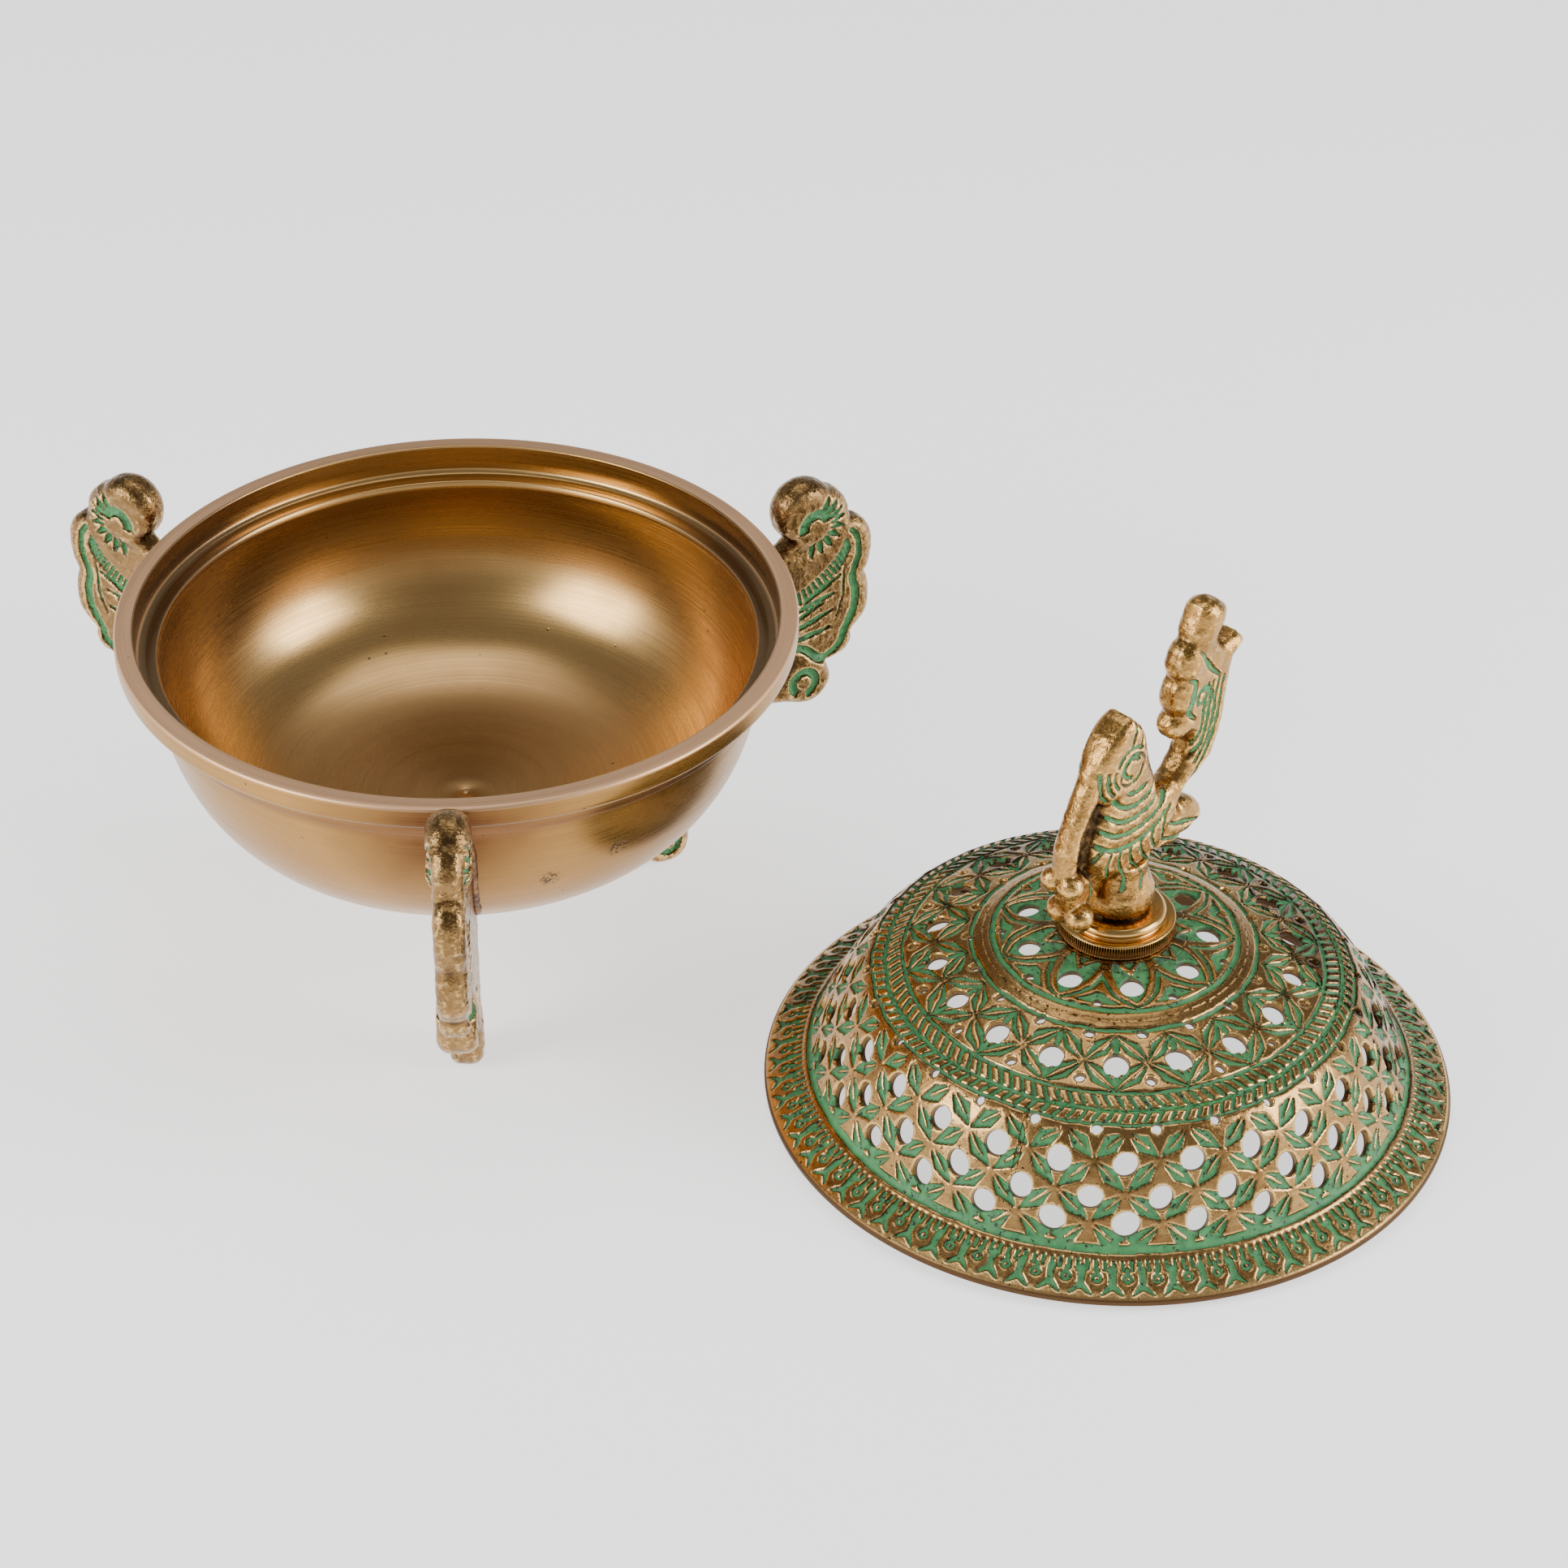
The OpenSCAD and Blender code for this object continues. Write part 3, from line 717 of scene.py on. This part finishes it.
def piercings():
    """Every piercing as (angle, arc length, radius, wobble), as drilled by hand."""
    draw = np.random.default_rng(5)
    holes = []
    for count, radius, bearing, size in RINGS:
        s = np.interp(radius, dome_line[:, 0], dome_along)
        for k in range(count):
            shift = draw.normal(0, 0.16, 2)
            theta = bearing + 360 * k / count + math.degrees(shift[0] / radius)
            hole_r = size * (1 + draw.normal(0, 0.035))
            holes.append((theta, s + shift[1], hole_r, draw.uniform(0, 2 * np.pi)))
    return holes


def pierced_band(s_rows, columns, holes):
    """One band of the lid as a grid of (theta, s), with its holes cut out and their edges made round.
    Returns the points, the faces, and the point numbers and angles round each hole."""
    theta, s = np.meshgrid(np.arange(columns) * 360 / columns, s_rows, indexing="ij")
    rows = len(s_rows)
    kept = np.ones((columns, rows - 1), bool)
    owner = {}
    step = 360 / columns
    for k, (hole_theta, hole_s, radius, wobble) in enumerate(holes):
        if not s_rows[0] < hole_s < s_rows[-1]:
            continue
        hole_r = float(dome_at(hole_s)[0])
        reach = math.degrees(1.5 * radius / hole_r)
        i = np.arange(math.floor((hole_theta - reach) / step), math.ceil((hole_theta + reach) / step) + 1)
        j = np.where(np.abs(s_rows - hole_s) < 1.6 * radius)[0]
        j = np.arange(max(j[0], 1), min(j[-1], rows - 2) + 1)

        def from_hole(ii, jj, half):
            """Distance and angle of grid places from the hole's middle, and the hole's radius there."""
            u = np.radians((ii + half) * step - hole_theta) * hole_r
            v = np.interp(jj + half, np.arange(rows), s_rows) - hole_s
            turn = np.arctan2(v, u)
            return np.hypot(u, v), turn, radius * (1 + 0.05 * np.cos(2 * turn + wobble))

        ii, jj = np.meshgrid(i, j, indexing="ij")
        away, _, edge = from_hole(ii, jj, 0.5)
        gone = away < edge
        kept[ii[gone] % columns, jj[gone]] = False
        corner = np.zeros((len(i) + 1, len(j) + 1), int)
        for di, dj in np.ndindex(2, 2):
            corner[di:di + len(i), dj:dj + len(j)] += gone
        ci, cj = np.where((corner > 0) & (corner < 4))
        vi, vj = i[0] + ci, j[0] + cj
        _, turn, edge = from_hole(vi, vj, 0)
        theta[vi % columns, vj] = hole_theta + np.degrees(edge * np.cos(turn) / hole_r)
        s[vi % columns, vj] = hole_s + edge * np.sin(turn)
        order = np.argsort(turn)
        owner[k] = ((vi % columns * rows + vj)[order], turn[order])
    ci, cj = np.where(kept)
    nxt = (ci + 1) % columns
    faces = np.stack([ci * rows + cj, ci * rows + cj + 1, nxt * rows + cj + 1, nxt * rows + cj], 1)
    return theta.ravel(), s.ravel(), faces, owner


def zip_rings(a, turn_a, b, turn_b):
    """Triangles between two closed rings of points, each in the order of its angle."""
    n, m, i, j = len(a), len(b), 0, 0
    turn_a, turn_b = np.append(turn_a, turn_a[0] + 2 * np.pi), np.append(turn_b, turn_b[0] + 2 * np.pi)
    faces = []
    while i < n or j < m:
        if j >= m or (i < n and turn_a[i + 1] <= turn_b[j + 1]):
            faces.append((a[i % n], a[(i + 1) % n], b[j % m]))
            i += 1
        else:
            faces.append((a[i % n], b[(j + 1) % m], b[j % m]))
            j += 1
    return faces


def lid_side(bands, holes, place):
    """A whole side of the lid from its bands. Returns its points, cuts, faces, hole rings, and end rings."""
    thetas, lengths, quads, joins, rings = [], [], [], [], {}
    first, start, end = 0, None, None
    for lo, hi, columns, cell in bands:
        rows = np.linspace(lo, hi, max(2, round((hi - lo) / cell) + 1))
        theta, s, faces, owner = pierced_band(rows, columns, holes)
        turn = full_turn(columns)
        top = first + np.arange(columns) * len(rows)
        if end is None:
            start = (top, turn)
        else:
            joins += zip_rings(*end, top, turn)
        end = (top + len(rows) - 1, turn)
        rings.update({k: (ids + first, angles) for k, (ids, angles) in owner.items()})
        quads.append(faces + first)
        thetas.append(theta)
        lengths.append(s)
        first += len(theta)
    theta, s = np.concatenate(thetas), np.concatenate(lengths)
    points, cuts = place(theta, s)
    return points, cuts, [np.concatenate(quads), *([joins] if joins else [])], rings, start, end


def outer_place(theta, s):
    """Points on the lid's chased face, and how far each is cut."""
    r, z, nr, nz = dome_at(s)
    turn = np.radians(theta)
    cut = lid_cuts(theta, s, r)
    lift = -RELIEF * cut - 0.05 * (1 + noise(round_points(r, turn, z), 1.7, 31)) * ease(0, 2, s)
    lift *= ease(RIM_S, RIM_S - 1.2, s)
    return round_points(r + nr * lift, turn, z + nz * lift), cut


def inner_place(theta, s):
    """Points on the lid's smooth inside, which isn't cut."""
    r, z, nr, nz = dome_at(s)
    turn = np.radians(theta)
    uneven = 0.06 * noise(round_points(r, turn, z), 3.0, 32) * ease(3, 6, s)
    thick = np.interp(s, [3, 8], [2.4, 2.05]) + uneven
    return round_points(r - nr * thick, turn, z - nz * thick), np.zeros(len(s))


def add_lid(material):
    holes = piercings()
    hub_s = STUD_HOLE_R - dome_line[0][0] + DOME_START
    outer_bands = [(hub_s, -0.5, 240, 1.6), (-0.5, 3, 320, 0.4), (3, 16.5, 440, 0.4), (16.5, 38.7, 800, 0.4),
                   (38.7, RIM_S, 1300, 0.37)]
    inner_bands = [(hub_s, 3, 120, 2.4), (3, 16.5, 260, 0.6), (16.5, 38.7, 520, 0.6), (38.7, 66, 760, 0.6)]
    points, cuts, faces, rings, start, end = lid_side(outer_bands, holes, outer_place)
    inner, _, inner_faces, inner_rings, inner_start, inner_end = lid_side(inner_bands, holes, inner_place)
    shift = len(points)
    faces += [np.asarray(group) + shift for group in inner_faces]
    walls = zip_rings(*start, inner_start[0] + shift, inner_start[1])
    for k, (ids, turns) in rings.items():
        walls += zip_rings(ids, turns, inner_rings[k][0] + shift, inner_rings[k][1])
    # under the flange: from the inside of the dome to the spigot, and out to the flange's edge
    last = inner[inner_end[0][0]]
    under = soften([(math.hypot(last[0], last[1]), last[2]), (65.6, 5.4), (68.4, 2.6), (68.4, 0), (71, 0),
                    (71, 1.6), (FLANGE_R, 1.6), (FLANGE_R, 2.7), dome_line[-1]], 0.25)[1:-1]
    columns = 480
    turn = full_turn(columns)
    ring_points = [round_points(r, turn, z) for r, z in under]
    base = shift + len(inner)
    strip = [base + k * columns + np.arange(columns) for k in range(len(under))]
    walls += zip_rings(inner_end[0] + shift, inner_end[1], strip[0], turn)
    for a, b in zip(strip, strip[1:]):
        faces.append(np.stack([a, np.roll(a, -1), np.roll(b, -1), b], 1))
    walls += zip_rings(strip[-1], turn, *end)
    faces.append(walls)
    points = np.concatenate([points, inner, *ring_points])
    face = np.arange(len(points)) < shift
    green = np.zeros(len(points))
    green[:shift] = cuts
    add_mesh("pierced_lid", points, faces, material, "lid", ["lid_dome"],
             {"green": green, "face": face}, at=LID_AXIS, recalc=True)


# ---- collar and fastening ----
COLLAR_Z = CROWN_Z + 0.15
RIBS = 140
KNURL_DEPTH = 0.5


def add_collar(material):
    """The knurled ring with its rounded moulding; the knurl's ribs are cut into the ring's edge."""
    inner = 3.05
    profile = soften([(inner, 0), (12.6, 0), (12.95, 0.3), (12.95, 3.15), (12.6, 3.5), (11.6, 3.55),
                      (10.5, 3.4), (10.2, 3.8), *curve((10.5, 4.1), (10.9, 4.4), (11, 5.4), (9.8, 6), 8),
                      (9, 5.9), (inner, 5.9)], 0.25)

    def knurl(rows, angle):
        rows = rows.copy()
        on_ring = ease(0.3, 0.6, rows[:, 1]) * ease(3.3, 2.9, rows[:, 1]) * (rows[:, 0] > 12.3)
        rows[:, 0] -= KNURL_DEPTH * on_ring * (0.5 - 0.5 * np.cos(angle * RIBS))
        return rows

    points, faces = lathe(profile, RIBS * 8, knurl)
    points[:, 2] += COLLAR_Z
    add_mesh("knurled_ring", points, faces, material, "collar", ["knurled_collar"],
             at=LID_AXIS, recalc=True)


def add_stud(material):
    """The finial's stud, with its thread cut all the way up."""
    lo, hi = (v.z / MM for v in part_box("finial_stud"))
    radius, pitch, depth = 3.0, 1.0, 0.55
    heights = np.arange(lo + 0.5, hi - 0.5, pitch / 8)
    root = radius - depth
    profile = [(0, lo), (root, lo), *[(radius, z) for z in heights], (root, hi), (0, hi)]

    def thread(rows, angle):
        rows = rows.copy()
        turned = (rows[:, 1] - lo) / pitch - angle / (2 * np.pi)
        body = (rows[:, 1] > lo + 0.4) & (rows[:, 1] < hi - 0.4)
        rows[body, 0] -= depth * np.abs(2 * (turned[body] % 1) - 1)
        return rows

    points, faces = lathe(profile, 48, thread)
    add_mesh("threaded_stud", points, faces, material, "bird", ["finial_stud"],
             at=LID_AXIS)


# ---- materials ----
class Paint:
    """A node material, built up by short calls. Colours are linear, and each coat goes over the last one."""

    def __init__(self, name, color, **fixed):
        self.material = bpy.data.materials.new(name)
        self.material.use_nodes = True
        self.tree = self.material.node_tree
        self.shader = self.tree.nodes["Principled BSDF"]
        self.color = color
        for key, value in fixed.items():
            self.shader.inputs[key.replace("_", " ")].default_value = value
        self.place = self.add("TexCoord").outputs["Object"]

    def add(self, kind, inputs=None, **settings):
        node = self.tree.nodes.new("ShaderNode" + kind)
        for key, value in settings.items():
            setattr(node, key, value)
        for key, value in (inputs or {}).items():
            self.set(node.inputs[key], value)
        return node

    def set(self, socket, value):
        if isinstance(value, bpy.types.NodeSocket):
            self.tree.links.new(value, socket)
        else:
            socket.default_value = (*value, 1) if socket.type == "RGBA" else value

    def maths(self, operation, *values):
        """A sum, product or so of values, taken one after another."""
        total = values[0]
        for value in values[1:]:
            total = self.add("Math", {0: total, 1: value}, operation=operation).outputs[0]
        return total

    def plus(self, *values):
        return self.maths("ADD", *values)

    def times(self, *values):
        return self.maths("MULTIPLY", *values)

    def noise(self, per_metre, detail=3.0, roughness=0.55, vector=None):
        inputs = {"Vector": vector or self.place, "Scale": per_metre, "Detail": detail}
        return self.add("TexNoise", {**inputs, "Roughness": roughness}).outputs["Fac"]

    def value(self, name):
        return self.add("Attribute", attribute_name=name).outputs["Fac"]

    def between(self, value, lo, hi, low=0.0, high=1.0):
        """low where value is at lo or before it, high at hi or past it."""
        inputs = {"Value": value, "From Min": lo, "From Max": hi, "To Min": low, "To Max": high}
        return self.add("MapRange", inputs).outputs[0]

    def mix(self, amount, a, b):
        """Colour a where amount is 0, b where it is 1."""
        return self.add("Mix", data_type="RGBA", inputs={0: amount, 6: a, 7: b}).outputs[2]

    def blend(self, amount, a, b):
        """Number a where amount is 0, b where it is 1."""
        return self.add("Mix", {0: amount, 2: a, 3: b}).outputs[0]

    def coat(self, color, *amounts):
        """Lays color over what is there, by the product of amounts."""
        self.color = self.mix(self.times(*amounts), self.color, color)

    def bump(self, height, depth, strength):
        """Relief of a depth in millimetres."""
        inputs = {"Height": height, "Distance": depth * MM, "Strength": strength}
        self.set(self.shader.inputs["Normal"], self.add("Bump", inputs).outputs[0])

    def measure_from(self, axis):
        """Keeps x and y from an axis, the radius and the height, all in millimetres."""
        split = self.add("SeparateXYZ", {0: self.place}).outputs
        self.x, self.y = (self.plus(self.times(split[i], 1 / MM), -axis[i]) for i in (0, 1))
        self.height = self.times(split[2], 1 / MM)
        square = self.plus(self.times(self.x, self.x), self.times(self.y, self.y))
        self.radius = self.maths("POWER", square, 0.5)

    def round_lines(self, per_mm, drift=0.02):
        """Noise drawn out into rings round the axis, as a lathe's or a brush's lines are."""
        across = self.times(self.plus(self.radius, self.height), per_mm)
        parts = {0: self.plus(self.times(self.x, drift), across), 1: self.times(self.y, drift),
                 2: self.times(self.height, drift)}
        return self.noise(1.0, vector=self.add("CombineXYZ", parts).outputs[0])

    def away_from(self, place):
        """Millimetres from a place."""
        gap = self.add("VectorMath", {0: self.place, 1: Vector(place) * MM}, operation="DISTANCE")
        return self.times(gap.outputs["Value"], 1 / MM)

    def finish(self, roughness, metallic=None):
        self.set(self.shader.inputs["Base Color"], self.color)
        self.set(self.shader.inputs["Roughness"], roughness)
        if metallic is not None:
            self.set(self.shader.inputs["Metallic"], metallic)
        return self.material


GREEN = (0.085, 0.33, 0.11)
GREEN_DARK = (0.03, 0.14, 0.045)
# near-black, for soot, pits and specks, and also for painted shade
SOOT_AND_SHADE = (0.018, 0.012, 0.008)
CASTING_FLAWS = [(-55.5, 65.9, 61.4), (-69.2, 64.6, 57.4)]  # bearing, reach and height of the larger pits
LEG_TOP = (79, 76)  # reach and height of the middle of each leg's heat stain


def turned_brass():
    """The bowl: brass, brushed round its axis, browner outside, with stains and a few casting pits."""
    p = Paint("turned_brass", (0.60, 0.375, 0.14), Metallic=1.0, Anisotropic=0.35)
    p.set(p.shader.inputs["Tangent"], p.add("Tangent", direction_type="RADIAL", axis="Z").outputs[0])
    p.measure_from(BOWL_AXIS)
    lines = p.round_lines(2.6)
    broad = p.round_lines(0.22)
    stain = p.noise(38, 5)
    outer = p.value("outer")
    p.coat((0.50, 0.29, 0.105), p.between(stain, 0.38, 0.68))
    p.coat((0.64, 0.415, 0.17), p.between(broad, 0.45, 0.75, 0, 0.5))
    p.coat((0.42, 0.228, 0.07), outer)
    for bearing in LEG_BEARINGS.values():
        away = p.away_from(BOWL_AXIS + toward(bearing, *LEG_TOP))
        heat = p.between(p.plus(away, p.times(stain, 20)), 45, 20)
        p.coat((0.06, 0.016, 0.008), heat, outer, 0.9)
    # painted shade in the step under the rim and on the inner walls at both sides, the floor, and the matt
    # rim, whose lighter colour is partly a painted highlight
    under_rim_painted_shade = p.times(p.between(p.height, 71.5, 74.5), p.between(p.height, 79.5, 77.5), outer)
    p.coat((0.20, 0.09, 0.04), under_rim_painted_shade, p.between(broad, 0.3, 0.6, 0.45, 0.9))
    # painted shade: the inner walls far to the left and right, high up, are painted a darker, duller brown
    aside = p.maths("MAXIMUM", p.x, p.times(p.x, -1))
    side_wall_painted_shade = p.times(p.between(aside, 40, 58), p.between(p.height, 48, 62), p.between(outer, 1, 0))
    p.coat((0.30, 0.19, 0.10), side_wall_painted_shade, 0.9)
    floor = p.between(p.height, 47, 39)
    p.coat((0.40, 0.225, 0.105), floor, 0.55)
    # the rim's top: its own matt finish, with a lighter colour that is partly a painted highlight
    past_seat = p.between(p.radius, SEAT_R + 0.2, SEAT_R + 0.5)
    rim_matt_and_painted_light = p.times(past_seat, p.between(p.height, RIM_Z - 0.9, RIM_Z - 0.2))
    p.coat((0.84, 0.52, 0.30), rim_matt_and_painted_light)
    p.coat((0.26, 0.13, 0.045), p.between(lines, 0.35, 0.65, 0.0, 0.25))
    dots = p.add("TexVoronoi", {"Vector": p.place, "Scale": 240}).outputs["Distance"]
    pits = p.times(p.between(dots, 0.05, 0.09, 1, 0), p.between(p.noise(48, 2), 0.55, 0.6))
    crumbs = p.between(p.noise(1400, 2), 0.47, 0.53)
    for flaw in CASTING_FLAWS:
        near = p.between(p.away_from(BOWL_AXIS + toward(*flaw)), 2.8, 1.4)
        pits = p.maths("MAXIMUM", pits, p.times(near, crumbs))
    p.coat(SOOT_AND_SHADE, pits, 0.8)
    dull = p.plus(p.between(stain, 0.4, 0.7, 0.0, 0.06), p.times(floor, 0.08))
    rough = p.plus(p.between(lines, 0.3, 0.7, 0.2, 0.32), dull)
    p.bump(p.maths("SUBTRACT", p.times(lines, 0.35), pits), 0.05, 0.5)
    return p.finish(p.blend(rim_matt_and_painted_light, rough, 0.5))


def cast_bronze(name, base, worn, shift, soot, relief):
    """Antiqued casting: dark in its hollows, bright on its edges, and green colour in its cut ground."""
    p = Paint(name, base)
    p.place = p.add("VectorMath", {0: p.place, 1: (shift, 0, 0)}, operation="ADD").outputs[0]
    grain = p.noise(1500, roughness=0.6)
    lumps = p.noise(560)
    patches = p.noise(95)
    p.coat([0.6 * v for v in base], p.between(patches, 0.35, 0.65))
    p.coat(worn, p.between(lumps, 0.5, 0.75, 0, 0.4))
    wear = p.plus(p.value("wear"), p.between(grain, 0.3, 0.7, -0.16, 0.16))
    p.coat((0.055, 0.032, 0.017), p.between(wear, -0.12, -0.5), 0.7)
    p.coat((0.05, 0.028, 0.014), p.between(grain, 0.39, 0.32), 0.4)
    p.coat((0.05, 0.034, 0.022), p.between(patches, 0.56, 0.66), p.between(lumps, 0.4, 0.55), soot)
    p.coat(worn, p.between(wear, 0.18, 0.5))
    ground = p.plus(p.value("green"), p.between(lumps, 0.3, 0.7, -0.22, 0.22))
    p.coat((0.03, 0.022, 0.012), p.between(ground, 0.12, 0.3), p.between(grain, 0.3, 0.5), 0.85)
    green = p.mix(p.between(lumps, 0.3, 0.7), GREEN, GREEN_DARK)
    green = p.mix(p.between(p.noise(1300, 2), 0.62, 0.68), green, SOOT_AND_SHADE)
    painted = p.between(ground, 0.4, 0.56)
    p.coat(green, painted)
    # painted shade in broken patches on the bird's web and the legs' thin places
    p.coat(SOOT_AND_SHADE, p.value("painted_shade"), p.between(lumps, 0.25, 0.5), 0.85)
    p.bump(p.plus(grain, p.times(lumps, 1.5)), 0.2, relief)
    rough = p.between(grain, 0.3, 0.7, 0.17, 0.32)
    return p.finish(p.blend(painted, rough, 0.6), p.between(painted, 0, 1, 1, 0))


def chased_bronze():
    """The lid: brown bronze, bright where it is worn, green colour in the chased ground."""
    p = Paint("chased_bronze", (0.42, 0.245, 0.088))
    p.measure_from(LID_AXIS)
    face = p.value("face")
    green_ground = p.value("green")
    lines = p.round_lines(2.0)
    grain = p.noise(1500)
    lumps = p.noise(480, 4)
    p.coat((0.31, 0.17, 0.058), p.between(p.noise(70), 0.35, 0.65))
    p.coat((0.54, 0.33, 0.13), p.between(lines, 0.42, 0.7, 0, 0.45))
    p.coat((0.74, 0.47, 0.18), p.between(p.radius, 74.2, 74.8), face)
    wear = p.plus(p.value("wear"), p.between(grain, 0.3, 0.7, -0.14, 0.14))
    p.coat((0.035, 0.02, 0.01), p.between(wear, -0.18, -0.6), 0.85)
    p.coat((0.76, 0.48, 0.17), p.between(wear, 0.45, 0.8), face, 0.8)
    pits = p.between(p.noise(1150, 1), 0.68, 0.72)
    p.coat(SOOT_AND_SHADE, pits, 0.85)
    ground = p.plus(green_ground, p.between(lumps, 0.3, 0.7, -0.17, 0.17))
    p.coat((0.02, 0.014, 0.008), p.between(ground, 0.12, 0.26), p.between(p.noise(260), 0.34, 0.44), 0.92)
    green = p.mix(p.between(lumps, 0.35, 0.7), GREEN, (0.04, 0.21, 0.075))
    green = p.mix(p.times(p.between(green_ground, 0.95, 0.55), 0.7), green, GREEN_DARK)
    green = p.mix(p.between(p.noise(900), 0.6, 0.66), green, SOOT_AND_SHADE)
    painted = p.between(ground, 0.33, 0.45)
    p.coat(green, painted)
    p.coat((0.045, 0.05, 0.035), p.between(p.radius, 19, 13.5), p.between(lumps, 0.35, 0.6), 0.75)
    inside = p.between(face, 0, 1, 1, 0)
    p.coat((0.11, 0.06, 0.028), inside)
    p.bump(p.plus(p.times(grain, 0.9), p.times(lines, 0.2), p.times(pits, -0.9)), 0.06, 0.7)
    rough = p.blend(painted, p.between(grain, 0.3, 0.7, 0.2, 0.32), 0.55)
    return p.finish(p.blend(inside, rough, 0.6), p.between(painted, 0, 1, 1, 0))


def polished_brass():
    """The collar: bright turned brass, red-brown lacquer left in its groove and at its foot."""
    p = Paint("polished_brass", (0.66, 0.41, 0.14), Metallic=1.0)
    p.measure_from(LID_AXIS)
    lines = p.round_lines(3.0)
    p.coat((0.48, 0.275, 0.085), p.between(lines, 0.4, 0.7, 0, 0.5))
    p.coat((0.10, 0.028, 0.012), p.between(p.value("wear"), -0.08, -0.5), 0.85)
    p.coat((0.25, 0.11, 0.04), p.between(p.noise(400), 0.62, 0.72, 0, 0.6))
    p.bump(lines, 0.03, 0.5)
    return p.finish(p.between(lines, 0.3, 0.7, 0.16, 0.30))


def brazing_metal():
    """Lumpy filler, dark where the torch burned it."""
    p = Paint("brazing_metal", (0.30, 0.155, 0.07), Metallic=1.0)
    lumps = p.noise(500, 4)
    p.coat((0.08, 0.045, 0.03), p.between(lumps, 0.35, 0.65))
    p.bump(lumps, 0.2, 0.8)
    return p.finish(p.between(lumps, 0.3, 0.7, 0.35, 0.6))


def fastener_steel():
    """Zinc-grey steel with fine turning lines and a little smoky tint."""
    p = Paint("fastener_steel", (0.52, 0.51, 0.49), Metallic=1.0)
    p.measure_from(LID_AXIS)
    lines = p.round_lines(4.0)
    lumps = p.noise(300, 4)
    p.coat((0.25, 0.20, 0.15), p.between(lumps, 0.4, 0.65))
    p.bump(p.plus(lines, lumps), 0.04, 0.6)
    return p.finish(p.between(lines, 0.3, 0.7, 0.28, 0.45))


def floor_paper():
    """White translucent acrylic, lit a little from below as a product table is."""
    p = Paint("floor_paper", (0.86, 0.86, 0.86), Emission_Color=(1, 1, 1, 1), Emission_Strength=1.15)
    p.coat((0.88, 0.88, 0.88), p.noise(30))
    return p.finish(0.85)


# ---- stage ----
CAMERA_PLACE = Vector((9.9, -736.6, 581.1)) * MM
CAMERA_PITCH = math.radians(35.275)
CAMERA_ROLL = math.radians(0.453)
CAMERA_VIEW = math.radians(21.69)
# Name, place in metres, width, depth and power of each light
LIGHTS = [("left_box", (-0.78, -0.42, 0.52), 0.5, 0.5, 7.5), ("right_box", (0.86, -0.2, 0.45), 0.5, 0.5, 7.5),
          ("top_box", (0, 0.3, 1.2), 0.8, 0.6, 3.5)]
LIT_PLACE = Vector((0, 0, 0.05))
FLOOR_SIZE = 20


def add_camera():
    data = bpy.data.cameras.new("camera")
    data.sensor_width = 36
    data.angle = CAMERA_VIEW
    data.clip_start = 0.01
    camera = bpy.data.objects.new("camera", data)
    turn = Matrix.Rotation(math.pi / 2 - CAMERA_PITCH, 4, "X") @ Matrix.Rotation(CAMERA_ROLL, 4, "Z")
    camera.matrix_world = Matrix.Translation(CAMERA_PLACE) @ turn
    bpy.context.scene.collection.objects.link(camera)
    bpy.context.scene.camera = camera


def add_floor():
    bpy.ops.mesh.primitive_plane_add(size=FLOOR_SIZE)
    floor = bpy.context.object
    floor.name = "floor"
    floor.data.materials.append(floor_paper())


def add_light(name, place, width, depth, power):
    """A soft box that faces the middle of the object."""
    data = bpy.data.lights.new(name, "AREA")
    data.shape = "RECTANGLE"
    data.size, data.size_y = width, depth
    data.energy = power
    light = bpy.data.objects.new(name, data)
    light.location = place
    light.rotation_euler = (LIT_PLACE - Vector(place)).to_track_quat("-Z", "Y").to_euler()
    bpy.context.scene.collection.objects.link(light)


def add_sky():
    """A dim room, with pale walls round the table that the outsides of the bowl and the lid reflect."""
    world = bpy.data.worlds.new("sky")
    world.use_nodes = True
    tree = world.node_tree
    background = tree.nodes["Background"]
    background.inputs["Color"].default_value = (1, 1, 1, 1)
    up = tree.nodes.new("ShaderNodeSeparateXYZ")
    tree.links.new(tree.nodes.new("ShaderNodeTexCoord").outputs["Generated"], up.inputs[0])
    fade = tree.nodes.new("ShaderNodeMapRange")
    for socket, value in (("From Min", 0.18), ("From Max", 0.42), ("To Min", 1.0), ("To Max", 0.24)):
        fade.inputs[socket].default_value = value
    tree.links.new(up.outputs[2], fade.inputs["Value"])
    tree.links.new(fade.outputs[0], background.inputs["Strength"])
    bpy.context.scene.world = world


add_camera()
add_floor()
add_sky()
for light in LIGHTS:
    add_light(*light)

add_bowl(turned_brass())
leg_bronze = cast_bronze("leg_bronze", (0.27, 0.15, 0.055), (0.64, 0.41, 0.16), 0.0, 0.35, 0.8)
points, faces, tones = leg_shape()
filler = brazing_metal()
for node, bearing in LEG_BEARINGS.items():
    add_mesh(node.replace("leg", "scroll_leg"), points, faces, leg_bronze, "bowl_set", [node],
             tones, turn=bearing, at=BOWL_AXIS + toward(bearing, LEG_OUT[node]))
    add_braze(node.replace("leg", "braze"), bearing, filler)
add_lid(chased_bronze())
add_collar(polished_brass())
bird_bronze = cast_bronze("bird_bronze", (0.47, 0.25, 0.072), (0.86, 0.53, 0.165), 3.0, 0.15, 0.6)
points, faces, tones = finial_shape()
add_mesh("bird_finial", points, faces, bird_bronze, "bird", ["finial"], tones,
         turn=TAIL_BEARING, at=LID_AXIS)
steel = fastener_steel()
add_stud(steel)
for node in ("finial_nut", "finial_washer"):
    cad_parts[node].data.materials.clear()
    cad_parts[node].data.materials.append(steel)
